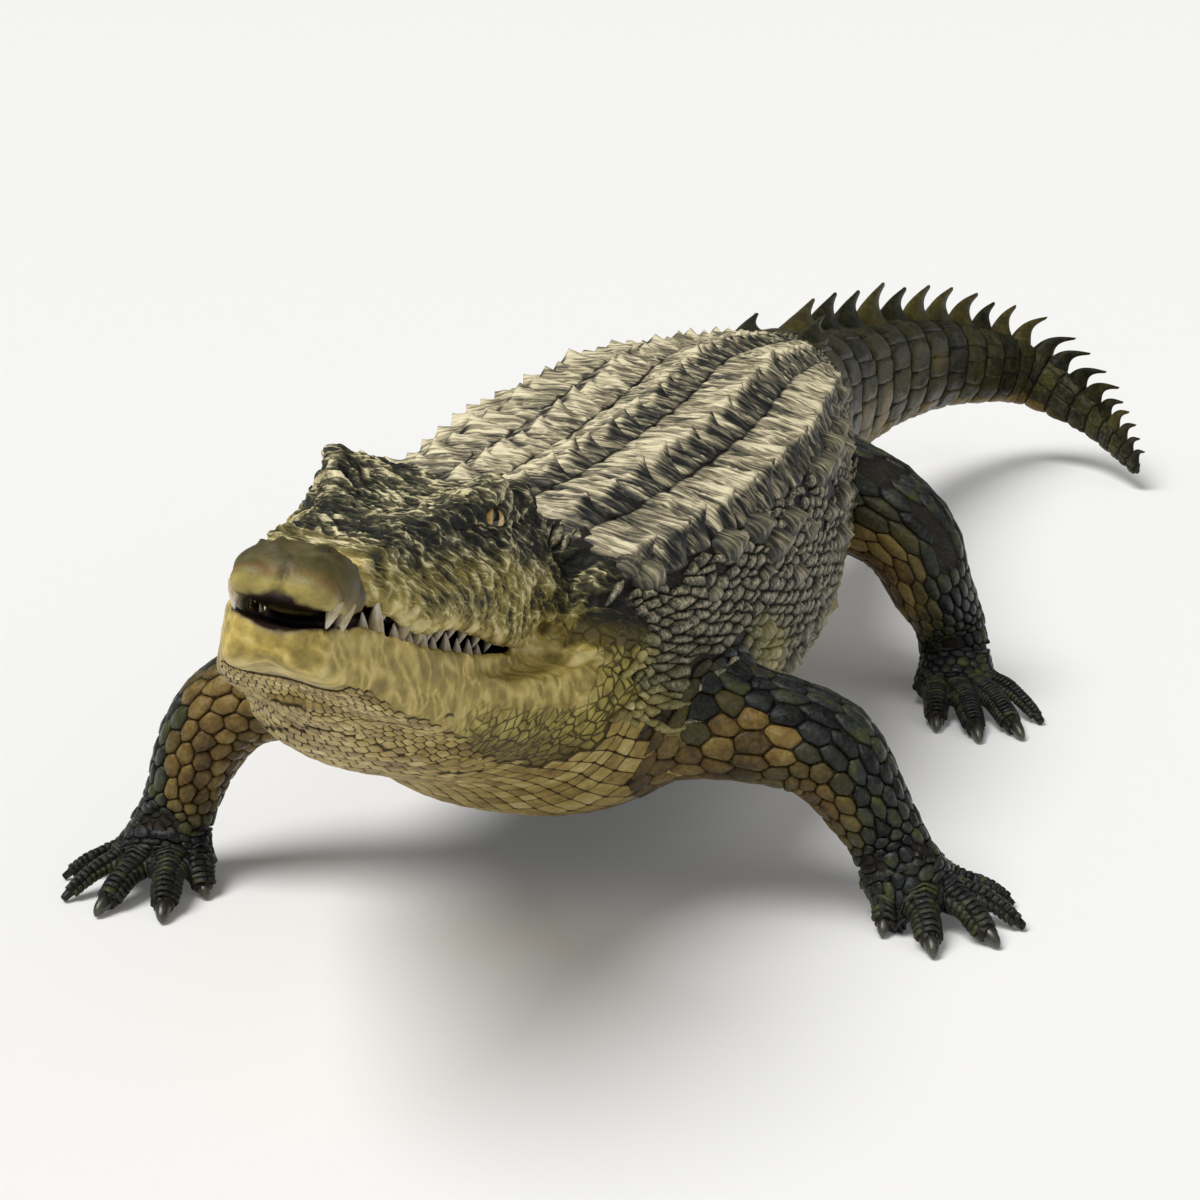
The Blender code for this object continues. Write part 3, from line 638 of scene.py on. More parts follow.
@dataclass(frozen=True)
class HideFinish:
    """Crocodile hide, tanned by sun and mud: leathery, slightly waxy where it is stretched, with painted
    highlights on its crests and painted shade in its folds.
    """

    name: str = "crocodile_hide"
    mustard: str = "#c0a95c"
    # cream paints the crests' highlights, partly weathering.
    cream: str = "#e6dcb4"
    # groove paints shade in the crevices between scales.
    groove: str = "#1c160e"
    # mouth paints shade inside the closed mouth.
    mouth: str = "#22140e"

    def make(self) -> bpy.types.Material:
        """Builds the material: colour from the animal's marks, wrinkles coloured by height with painted
        highlights on crests and painted shade in hollows, fine creases.
        """
        finish, add, shader = new_finish(self.name)
        mark = {key: add("Attribute", {"attribute_name": key}, "Fac")
                for key in ("ochre", "coated", "mouth", "relief", "top", "jaw", "nose", "plated")}
        where = add("TexCoord", {}, "Object")
        # Mottling 25 mm across, as pigment lies in hide, and 3 mm pores that show as fine relief.
        mottle = add("TexNoise", {"Scale": 38.0, "Detail": 5.0, "Roughness": .62, "Vector": where})
        pores = add("TexVoronoi", {"Scale": 330.0, "Vector": where})
        creases = add("TexNoise", {"Scale": 120.0, "Detail": 6.0, "Roughness": .65, "Vector": where})
        # Wandering crests 9 mm apart, too thin for the mesh, with creases 4 mm apart between them.
        warp = add("TexNoise", {"Scale": 60.0, "Detail": 2.0, "Vector": where}, "Color")
        bent = add("VectorMath", {"operation": "MULTIPLY_ADD", 0: warp, 1: (.01, .01, .01), 2: where})
        flow = add("Mapping", FLOW | {"Vector": bent})
        cell = add("TexVoronoi", {"feature": "DISTANCE_TO_EDGE", "Scale": 95.0, "Vector": flow})
        crest = add("MapRange", {"interpolation_type": "SMOOTHSTEP", "Value": cell, "From Min": .01,
                                 "From Max": .095, "To Min": 1.0, "To Max": 0.0})
        thread = add("TexNoise", {"Scale": 250.0, "Detail": 4.0, "Roughness": .65, "Vector": flow})
        height = add("MapRange", {"Value": thread, "From Min": .36, "From Max": .64, "To Min": -.22,
                                  "To Max": .18})
        height = add("Math", {"operation": "MULTIPLY_ADD", 0: crest, 1: .3, 2: height})
        # Colour follows height: the wrinkles and wandering crests go pale as painted highlights, partly
        # weathering, and hollows go dark as painted shade.
        worn_and_lit = add("Math", {"operation": "MULTIPLY_ADD", 0: mark["relief"], 1: 1.12, 2: -.11})
        relief = add("Math", {"operation": "ADD", 0: worn_and_lit, 1: height})
        soft = add("Math", {"operation": "MULTIPLY_ADD", 0: creases, 1: .5, 2: -.25})
        calm = add("Math", {"operation": "ADD", 0: mark["relief"], 1: soft})
        flank, top, jaw = (add("ValToRGB", {"Fac": value, "stops": stops}) for value, stops in (
            (relief, ((.04, "#241e0e"), (.24, "#6f6632"), (.54, "#a2944f"), (.86, "#e6daa8"))),
            (relief, ((.1, "#0e0f0b"), (.36, "#35362a"), (.6, "#6f6a4e"), (.84, self.cream))),
            (calm, ((.18, "#66592a"), (.4, "#938243"), (.58, self.mustard), (.82, "#d8c78a")))))
        head = add("Mix", BLEND | {0: mark["top"], 6: flank, 7: top}, 2)
        head = add("Mix", BLEND | {0: mark["jaw"], 6: head, 7: jaw}, 2)
        # Flat plates 14 mm across with hairline seams between them.
        seam = add("TexVoronoi", {"feature": "DISTANCE_TO_EDGE", "Scale": 70.0, "Vector": where})
        seam = add("MapRange", {"Value": seam, "From Min": 0.0, "From Max": .1, "To Min": 1.0, "To Max": 0.0})
        seam = add("Math", {"operation": "MULTIPLY", 0: seam, 1: mark["plated"]})
        head = add("Mix", BLEND | {0: seam, 6: head, 7: linear("#51461f")}, 2)
        green = add("Math", {"operation": "MULTIPLY", 0: mark["plated"], 1: .7})
        head = add("Mix", TINT | {0: green, 6: head, 7: linear("#c3cc9a")}, 2)
        # The snout's front goes from olive lobes over a rusty band to the slate nostril disc.
        spot = add("Math", {"operation": "MULTIPLY_ADD", 0: mottle, 1: 1.1, 2: -.55})
        spot = add("Math", {"operation": "ADD", 0: mark["nose"], 1: spot})
        disc = add("ValToRGB", {"Fac": spot, "stops": (
            (.05, "#9c9156"), (.28, "#787042"), (.5, "#694f30"), (.7, "#4b462c"), (.95, "#2f3126"))})
        on = add("Math", {"operation": "MULTIPLY", "use_clamp": True, 0: mark["nose"], 1: 2.6})
        on = add("Math", {"operation": "MINIMUM", 0: on, 1: .86})
        head = add("Mix", BLEND | {0: on, 6: head, 7: disc}, 2)
        tint = add("ValToRGB", {"Fac": mottle, "stops": (
            (.32, "#a8a568"), (.55, "#ffffff"), (.8, "#fff6d0"))})
        head = add("Mix", TINT | {0: .55, 6: head, 7: tint}, 2)
        # Where scales lie, the skin shows only in the gaps between them and is painted dark there as shade in
        # the crevices.
        under = add("Mix", BLEND | {0: mark["ochre"], 6: linear(self.groove), 7: linear("#3f3017")}, 2)
        coat = add("Mix", BLEND | {0: mark["coated"], 6: head, 7: under}, 2)
        # The inside of the closed mouth is painted near black as shade.
        colour = add("Mix", BLEND | {0: mark["mouth"], 6: coat, 7: linear(self.mouth)}, 2)
        rough = add("MapRange", {"Value": creases, "From Min": .3, "From Max": .7, "To Min": .4,
                                 "To Max": .62})
        small = add("Bump", {"Strength": .35, "Distance": .0006, "Height": pores})
        big = add("Bump", {"Strength": .5, "Distance": .0014, "Height": creases, "Normal": small})
        wrinkled = add("Math", {"operation": "SUBTRACT", "use_clamp": True, 0: 1.0, 1: mark["jaw"]})
        sharp = add("Math", {"operation": "MULTIPLY", 0: wrinkled, 1: height})
        sunk = add("Math", {"operation": "SUBTRACT", 0: sharp, 1: seam})
        folds = add("Bump", {"Strength": .9, "Distance": .0036, "Height": sunk, "Normal": big})
        set_up(shader, {"Base Color": colour, "Roughness": rough, "Specular IOR Level": .32, "Normal": folds})
        return finish


@dataclass(frozen=True)
class EyeFinish:
    """A crocodile's eye: amber iris with a slit pupil under a clear wet cornea."""

    name: str = "wet_amber_eye"

    def make(self) -> bpy.types.Material:
        """Builds the material from the attributes across and high, in shares of the eye's radius."""
        finish, add, shader = new_finish(self.name)
        across, high = (add("Attribute", {"attribute_name": key}, "Fac") for key in ("across", "high"))
        place = add("CombineXYZ", {0: across, 1: high})
        length = add("VectorMath", {"operation": "LENGTH", 0: place}, "Value")
        # The iris is darkest at its rim, and pigment mottles it.
        swirl = add("TexNoise", {"Scale": 9.0, "Detail": 6.0, "Vector": place})
        iris = add("ValToRGB", {"Fac": length, "stops": (
            (.0, "#8a5a14"), (.3, "#dfb95c"), (.62, "#bd9440"), (.84, "#3d2a0c"), (.9, "#14100a"))})
        tint = add("ValToRGB", {"Fac": swirl, "stops": ((.35, "#7d5b22"), (.6, "#ffffff"))})
        colour = add("Mix", TINT | {0: .35, 6: iris, 7: tint}, 2)
        tall = add("Math", {"operation": "MULTIPLY", 0: high, 1: .24})
        slit = add("CombineXYZ", {0: across, 1: tall})
        narrow = add("VectorMath", {"operation": "LENGTH", 0: slit}, "Value")
        pupil = add("MapRange", {"Value": narrow, "From Min": .17, "From Max": .21, "To Min": 1.0,
                                 "To Max": 0.0})
        colour = add("Mix", BLEND | {0: pupil, 6: colour, 7: linear("#050403")}, 2)
        set_up(shader, {"Base Color": colour, "Roughness": .12, "Coat Weight": 1.0, "Coat Roughness": .02,
                        "IOR": 1.38})
        return finish


@dataclass(frozen=True)
class HornFinish:
    """Claw or tooth: smooth horn or enamel, worn pale and streaked along its length."""

    name: str
    root: str
    tip: str
    roughness: float
    streak: str = "#9a927c"

    def make(self) -> bpy.types.Material:
        """Builds the material: root to tip colour by the attribute tip, with lengthwise streaks."""
        finish, add, shader = new_finish(self.name)
        tip, turn = (add("Attribute", {"attribute_name": key}, "Fac") for key in ("tip", "round"))
        place = add("CombineXYZ", {0: turn, 1: tip})
        streaks = add("TexNoise", {"Scale": 3.2, "Detail": 6.0, "Roughness": .7, "Vector": place})
        ramp = add("ValToRGB", {"Fac": tip, "stops": ((.0, self.root), (.45, self.root), (.95, self.tip))})
        tint = add("ValToRGB", {"Fac": streaks, "stops": ((.35, self.streak), (.62, "#ffffff"))})
        colour = add("Mix", TINT | {0: .75, 6: ramp, 7: tint}, 2)
        relief = add("Bump", {"Strength": .5, "Distance": .0005, "Height": streaks})
        set_up(shader, {"Base Color": colour, "Roughness": self.roughness, "IOR": 1.54, "Normal": relief})
        return finish


@dataclass(frozen=True)
class ScuteFinish:
    """Keratin scales grown over hide: waxy, streaked along the body, pale on their crests from sun fading and
    a painted highlight, with painted shade in their folds.
    """

    name: str
    dark_low: str = "#14160f"
    dark_high: str = "#3b3c2b"
    pale_low: str = "#8c7838"
    pale_high: str = "#cbb96c"
    middle: str = "#5c5a34"
    cream: str = "#ded4a4"
    groove: str = "#17130c"
    roughness: float = .42
    bleach_and_light: float = .1
    crest_share: float = .7
    fibre: float = .5
    flowing: bool = False
    shine: float = .3
    keeps: float = 0.0

    def make(self) -> bpy.types.Material:
        """Builds the material: dark, olive and pale by the animal's marks, rims dark as painted shade, crests
        pale from sun fading and a painted highlight.
        """
        finish, add, shader = new_finish(self.name)
        mark = {key: add("Attribute", {"attribute_name": key}, "Fac")
                for key in ("dark", "ochre", "edge", "tone", "wear")}
        where = add("TexCoord", {}, "Object")
        # Fibres 5 mm apart, 45 mm long on the back, and 1 mm pits.
        long_ = add("Mapping", (FIBRES if self.flowing else {}) | {"Vector": where})
        streaks = add("TexNoise", {"Scale": 200.0, "Detail": 5.0, "Roughness": .68, "Distortion": .5,
                                   "Vector": long_})
        mottle = add("TexNoise", {"Scale": 46.0, "Detail": 5.0, "Roughness": .6, "Vector": where})
        pits = add("TexNoise", {"Scale": 420.0, "Detail": 3.0, "Vector": where})
        tone = add("MapRange", {"Value": mark["tone"], "From Min": -1.0, "From Max": 1.0, "To Min": -.16,
                                "To Max": .16})
        shade = add("Math", {"operation": "ADD", 0: mottle, 1: tone})
        dark = add("ValToRGB", {"Fac": shade, "stops": (
            (.32, self.dark_low), (.56, self.dark_high), (.76, self.middle))})
        pale = add("ValToRGB", {"Fac": shade, "stops": (
            (.28, self.pale_low), (.55, self.pale_high), (.8, self.cream))})
        body = add("Mix", BLEND | {0: mark["ochre"], 6: linear(self.middle), 7: pale}, 2)
        body = add("Mix", BLEND | {0: mark["dark"], 6: body, 7: dark}, 2)
        fibre = add("ValToRGB", {"Fac": streaks, "stops": ((.34, "#6f6a58"), (.56, "#ffffff"))})
        body = add("Mix", TINT | {0: self.fibre, 6: body, 7: fibre}, 2)
        # Crests go cream, partly sun fading and partly a painted highlight, while the folds go slate as
        # painted shade.
        wide = add("MapRange", {"Value": streaks, "From Min": .4, "From Max": .62, "To Min": -.1,
                                "To Max": .44})
        lit = add("Math", {"operation": "MULTIPLY_ADD", 0: mark["wear"], 1: self.crest_share, 2: wide})
        bleach_and_light_ramp = add("ValToRGB", {"Fac": lit, "stops": (
            (.1, "#14171a"), (.32, "#504e44"), (.56, "#938a70"), (.88, "#e6dcba"))})
        worn_and_lit = add("Math", {"operation": "MULTIPLY_ADD", 0: mark["dark"], 1: self.bleach_and_light * self.keeps,
                            2: self.bleach_and_light * (1 - self.keeps)})
        body = add("Mix", BLEND | {0: worn_and_lit, 6: body, 7: bleach_and_light_ramp}, 2)
        # Each plate's rim takes the dark groove colour, painted shade in the crevice between plates.
        rim = add("MapRange", {"Value": mark["edge"], "From Min": .7, "From Max": 1.0, "To Min": 0.0,
                               "To Max": .92})
        body = add("Mix", BLEND | {0: rim, 6: body, 7: linear(self.groove)}, 2)
        rough = add("MapRange", {"Value": pits, "From Min": .3, "From Max": .7,
                                 "To Min": self.roughness - .1, "To Max": self.roughness + .12})
        small = add("Bump", {"Strength": .3, "Distance": .0005, "Height": pits})
        big = add("Bump", {"Strength": .75, "Distance": .0016, "Height": streaks, "Normal": small})
        set_up(shader, {"Base Color": body, "Roughness": rough, "Specular IOR Level": self.shine,
                        "Normal": big})
        return finish


def markings(points: Array, normals: Array) -> tuple[Array, Array]:
    """Works out the animal's own pattern, the same for skin and scales.

    Upward faces are dark and downward ones ochre, the border wandering with noise, and blotches
    of each lie in the other. On limbs the outer and hinder faces are dark and the inner ones ochre.

    Args:
        points: Places in the maker's frame.
        normals: Outward directions.

    Returns:
        Darkness and ochre, each from 0 to 1.
    """
    wander = layered(points * (9, 6, 9), 3, 11)
    blotch = layered(points * (21, 13, 21), 2, 23)
    up = normals[..., 2]
    y, z = points[..., 1], points[..., 2]
    across = points[..., 0] - BODY_MIDDLE
    away = np.abs(across)
    outer = np.sign(across) * normals[..., 0]
    trunk_wide = np.interp(y, (-1.1, -.75, -.5, .1, .5, .8), (.18, .19, .235, .255, .2, .14))
    limb = rise(away, trunk_wide - .03, trunk_wide + .03) * (y < .62)
    limb = np.maximum(limb, rise(.16 - z, 0, .05) * (y < .62) * (y > -.75))
    body_score = up + .1 + .42 * wander + .25 * blotch
    leg_score = .42 + .75 * outer + .35 * up + .55 * normals[..., 1] + .4 * wander
    feet = rise(.13 - z, 0, .08)
    inner = (y < -.5) * rise(z, .09, .16) * rise(.42 - away, 0, .14)
    leg_score = leg_score + .75 * feet - inner * (1.0 + 1.1 * blotch)
    tail = rise(y, .62, .85)
    tail_score = (z - (.335 - .09 * rise(y, 1.1, 2))) * 9 + .55 + .65 * wander + .55 * blotch
    neck = rise(-y, .55, .72)
    neck_score = up * 1.3 - .12 + (z - .34) * 5 + .4 * wander
    low_end = rise(.29 - z, 0, .08) * rise(y, 1.1, 1.5)
    tail_score += low_end * (1.1 * up + .75 + .6 * wander + .5 * blotch - tail_score)
    body_score -= 1.5 * bump_at(y, -.3, .12) * bump_at(z, .25, .055)
    score = body_score * (1 - tail) + tail_score * tail
    score = score * (1 - neck) + neck_score * neck
    score = score * (1 - limb) + leg_score * limb
    return rise(score, -.22, .42), rise(-score + .25 * blotch, -.3, .45)


def bare(points: Array, normals: Array) -> Array:
    """Returns one where the head's hide carries no scales, fading to nothing at its borders.

    Args:
        points: Places in the maker's frame.
        normals: Outward directions.

    Returns:
        A share per point.
    """
    x, t, z = off_head(points).T
    out = normals @ head_turn()
    border = np.where(z > .08, 1.01, 1.035) + .02 * np.sin(z * 60)
    low = curve_value(JAW_LIP, t) - .62 * (curve_value(JAW_LIP, t) - curve_value(JAW_EDGE, t))
    behind = rise(t, .07, .12)
    below = rise(.95 - np.abs(x) / curve_value(JAW_WIDTH, t), 0, .05) * behind * rise(low - z, -.01, .01)
    below = np.maximum(below, rise(-out[:, 2], .45, .7) * behind * (z < low + .02))
    return rise(border - t, -.012, .012) * (1 - below) * rise(z, -.3, -.27)


@dataclass
class HeadHide:
    """The relief of the head: bony ridges, lip lobes, nostril disc, brow, cheek and mouth."""

    points: Array
    normals: Array
    lobe_step: float = .036
    lobe_height: float = .005
    ridge_height: float = .006

    def __post_init__(self) -> None:
        """Works out the places in head lengths and the wrinkles once."""
        self.place = off_head(self.points)
        self.out = self.normals @ head_turn()
        x, t, z = self.place.T
        self.side = np.abs(x)
        self.on = (1 - rise(t, 1.04, 1.14)) * rise(z, -.34, -.26)
        self.split = (curve_value(UPPER_LIP, t) + curve_value(JAW_LIP, t)) / 2
        self.upper = rise(z - self.split, -.004, .004)
        self.above = z - curve_value(UPPER_LIP, t)
        self.facing = rise(np.abs(self.out[:, 0]), .45, .85)
        bend = .55 * grain(self.place * 11, 5)
        self.coarse, self.medium, self.fine = (self.folds(n, bend) for n in (1.0, 2.1, 4.3))
        # The height also sets the hide's colour: fold crests pale as painted highlights, partly weathering,
        # and hollows dark as painted shade.
        height = (.38 * self.coarse + .34 * self.medium + .28 * self.fine
                  + .22 * rise(.055 - self.above, 0, .05))
        calm = np.maximum(1 - self.upper, rise(.175 - t, 0, .03))
        self.height = np.clip(height * (1 - calm) + (.55 + .3 * (self.medium - .4)) * calm, 0, 1)
        self.height -= .32 * rise(t, .9, 1.0) * (z > 0)
        self.height -= .45 * bump_at(x, 0, .0045) * (t < .1) * (z < .075) * self.upper

    def folds(self, scale: float, bend: Array) -> Array:
        """Sharp-crested folds: across on top of the head, upright and slanting on its sides.

        Each is one less the noise's size, to the power 1.5, over places stretched along the fold.

        Args:
            scale: How many times finer than folds 22 mm apart.
            bend: Wander of the folds.

        Returns:
            Heights from 0 to 1.
        """
        x, t, z = self.place.T
        top = np.stack([x * 10, t * 27 - self.side * 16, z * 16], 1) * scale + bend[:, None]
        flank = np.stack([(.6 * t + .8 * z) * 32, (.8 * t - .6 * z) * 13, x * 9], 1) * scale
        flank += bend[:, None]
        crest = [np.clip(1 - np.abs(grain(p, seed)) * 1.9, 0, 1) ** 1.5
                 for p, seed in ((top, 31), (flank, 37))]
        return crest[0] * (1 - self.facing) + crest[1] * self.facing

    def coated(self) -> Array:
        """Returns one where scales lie on the skin: everywhere but skull, snout and jaw sides."""
        thin = 1 - .5 * (1 - rise(self.place[:, 1], .95, 1.1))
        return (1 - bare(self.points, self.normals)) * thin

    def mouth(self) -> Array:
        """Returns one on the palate and the floor of the mouth."""
        _, t, z = self.place.T
        inner = 1 - rise(self.side / np.maximum(curve_value(UPPER_WIDTH, t) * rounded(t), .01), .84, .93)
        roof = self.upper * rise(-self.out[:, 2], .1, .5) * (self.above < .04)
        floor = (1 - self.upper) * rise(self.out[:, 2], .1, .5) * (z > curve_value(JAW_LIP, t) - .04)
        deep = (np.abs(z - self.split) < .034) * rise(t, .045, .065)
        return np.maximum(roof + floor, deep) * inner * (t < .93) * self.on

    def top(self) -> Array:
        """Returns how much a point belongs to the dark top of snout and skull."""
        _, t, z = self.place.T
        line = .52 * curve_value(RIDGE_HEIGHT, t) * rise(t, .08, .2)
        shade = rise(self.above - line + .02 * grain(self.place * 14, 77), -.02, .06) * rise(t, .1, .2)
        return np.maximum(shade, .85 * rise(t, .88, .97) * rise(z, .02, .07))

    def pale(self) -> Array:
        """Returns one on the smooth lower jaw and the cheek behind the mouth's corner."""
        _, t, z = self.place.T
        cheek = rise(t, .84, .93) * rise(.05 - z, 0, .05)
        return np.maximum(1 - self.upper, cheek * self.on)

    def smooth(self) -> Array:
        """Returns one where the hide is smooth: jaw, cheek, snout's front and the lips' lobes."""
        low = .75 * rise(.045 - self.above, 0, .035) * self.upper
        return np.maximum(np.maximum(self.pale(), rise(.175 - self.place[:, 1], 0, .03)), low)

    def disc(self) -> Array:
        """Returns one on top of the nostril disc and a little less on the snout's front lobes."""
        _, t, z = self.place.T
        front = rise(.15 - t, 0, .02) * self.upper
        return np.maximum(rise(z + .45 * t, .008, .092), .2 * self.upper) * front

    def plated(self) -> Array:
        """Returns one where the smooth hide of jaw and cheek breaks up into flat plates."""
        _, t, z = self.place.T
        low = rise(curve_value(JAW_LIP, t) - z, .06, .1) * rise(t, .45, .75)
        return np.maximum(low, rise(t, .9, .98)) * self.pale()

    def lips(self) -> Array:
        """Lobes along the upper lip, rounder below, each parted from the next by a sharp fold.

        The lobe's fullness is the sine of the place along the lip to the power 0.55, and it fades
        upwards within a tenth of a head length.
        """
        t = self.place[:, 1]
        wander = .3 * grain(self.place * 17, 3)
        phase = (t - .015) / self.lobe_step + wander - .9 * self.above / .07
        lobe = np.abs(np.sin(np.pi * phase)) ** .55 + .3 * np.abs(np.sin(2.6 * np.pi * phase)) ** .7
        fade = rise(.062 - self.above, 0, .05) * self.upper * rise(np.abs(self.out[:, 0]), .15, .5)
        size = self.lobe_height * rise(t, .1, .17) * (1 - .5 * rise(t, .78, .9))
        bulge = .0042 * bump_at(self.above, .022, .03) * self.upper * rise(t, .15, .25) * (t < .84)
        return (lobe - .8) * size * fade * (t < .9) + bulge

    def bones(self) -> Array:
        """Ridges of snout and skull: canthal crests, brows, horns, table and flowing wrinkles."""
        _, t, z = self.place.T
        crest_x, crest_z = curve_value(RIDGE_WIDTH, t), curve_value(RIDGE_HEIGHT, t)
        gap = np.hypot(self.side - crest_x, z - crest_z)
        strong = rise(self.above, .03, .09) * self.upper * (1 - .8 * rise(self.pale(), .2, .8))
        calm = rise(t, .13, .19)
        wrinkle = ((self.coarse - .4) * self.ridge_height + (self.medium - .4) * .0034
                   + (self.fine - .4) * .0017) * calm
        lift = wrinkle * (strong * .92 + .08 * self.upper)
        lift += .0034 * bump_at(gap, 0, .018) * rise(t, .16, .3) * (.6 + .8 * grain(self.place * 22, 41))
        lift += .0036 * bump_at(gap, 0, .024) * bump_at(t, .69, .07)
        lift -= .005 * np.exp(-((np.hypot(self.side * .9, t - .82) / .075) ** 2)) * (z > .12)
        lift -= .0055 * bump_at(z - crest_z, -.045, .009) * rise(t, .77, .8) * (1 - rise(t, .92, .96)) * (
            self.side > .06)
        return lift

    def nose(self) -> Array:
        """The nostril disc's border, its two slits with raised rims, and the notch in front."""
        x, t, z = self.place.T
        top = rise(self.out[:, 2], .1, .5) * self.upper
        lift = -.005 * bump_at(t, .152, .012) * self.upper * rise(z, .01, .04)
        slit = np.hypot((self.side - .042 - .35 * (t - .07)) / .0085, (t - .07) / .021)
        lift -= .011 * np.exp(-(slit**4)) * top
        lift += .003 * bump_at(slit, 1.55, .45) * top * (t < .13)
        lift -= .0042 * bump_at(x, 0, .005) * rise(.09 - t, 0, .03) * self.upper * rise(.07 - z, 0, .02)
        lift += .001 * grain(self.place * 30, 14) * (t < .14) * self.upper
        return lift

    def jaw(self) -> Array:
        """Soft lumps and upright creases on the lower jaw, the cheek and its crease."""
        x, t, z = self.place.T
        low = 1 - self.upper
        upright = np.stack([x * 4, t * 26 + .8 * grain(self.place * 9, 2), z * 11], 1)
        crease = np.clip(1 - np.abs(grain(upright, 51)) * 2.4, 0, 1) ** 2
        level = np.stack([x * 9, (t + .3 * z) * 9, z * 46], 1) + .5 * grain(self.place * 7, 4)[:, None]
        split = np.clip(1 - np.abs(grain(level, 52)) * 2.6, 0, 1) ** 2
        lumps = layered(self.place * (9, 8, 13), 2, 61)
        gum = bump_at(z - curve_value(JAW_LIP, t), -.012, .014) * rise(t, .05, .12) * (t < .85)
        lobe = np.abs(np.sin(np.pi * ((t + .01) / .052 + .12 * grain(self.place * 20, 6)))) ** .6 - .6
        near_lip = rise(z - curve_value(JAW_LIP, t), -.075, -.02)
        lift = low * (lumps * .0034 - .0015 * crease * near_lip - .0013 * split * (1 - near_lip)
                      + .0036 * lobe * gum) * (t < .97)
        line = z + .034 + .1 * (t - .88)
        outer = self.side > .1
        lift -= .0055 * bump_at(line, 0, .008) * rise(t, .84, .88) * (1 - rise(t, 1.02, 1.08)) * outer
        lift -= .0026 * bump_at(line, .045, .01) * rise(t, .88, .92) * (1 - rise(t, 1.0, 1.04)) * outer
        granule = np.stack([t * 62, z * 62, x * 30], 1)
        patch = rise(t, .93, .97) * rise(z, -.055, -.035) * rise(.055 - z, 0, .02)
        return lift + .0016 * (.6 - np.abs(grain(granule, 9)) * 1.6) * patch * (self.side > .12)

    def socket(self) -> Array:
        """Sinks the hide behind each eyeball and draws folds round the lids."""
        _, t, z = self.place.T
        gap = np.stack([self.side - EYE_PLACE[0], t - EYE_PLACE[1], z - EYE_PLACE[2]], 1)
        r = np.linalg.norm(gap, axis=1) * HEAD_LENGTH / EYE_RADIUS
        sink = -.0085 * (1 - rise(r, .75, 1.45)) * (self.side > .03)
        folds = (.0018 * np.cos((r - 1.75) * 8.5) * bump_at(r, 1.95, .45)) * (self.side > .03)
        return sink + folds

    def relief(self) -> Array:
        """Returns how far each point moves outwards, in metres."""
        lift = self.lips() + self.bones() + self.nose() + self.jaw() + self.socket()
        return lift * self.on * (1 - self.mouth())


def sphere(polar: Array, sides: int) -> Array:
    """Returns rings of a unit sphere at these angles from its pole.

    Args:
        polar: The rings' angles.
        sides: Points round each ring.

    Returns:
        Rings by points by three.
    """
    polar = polar[:, None]
    turn = full_turn(sides)[None]
    out = np.sin(polar)
    return np.stack([out * np.cos(turn), out * np.sin(turn), np.cos(polar) + 0 * turn], -1)


def ball(centre: Array | tuple, size: tuple) -> Array:
    """Returns the rings of an ellipsoid, a unit sphere scaled along each axis."""
    return sphere(np.linspace(.05, np.pi - .05, 24), 40) * size + centre


class Side(Enum):
    """Which side of the body, as the sign of x."""

    LEFT = 1
    RIGHT = -1


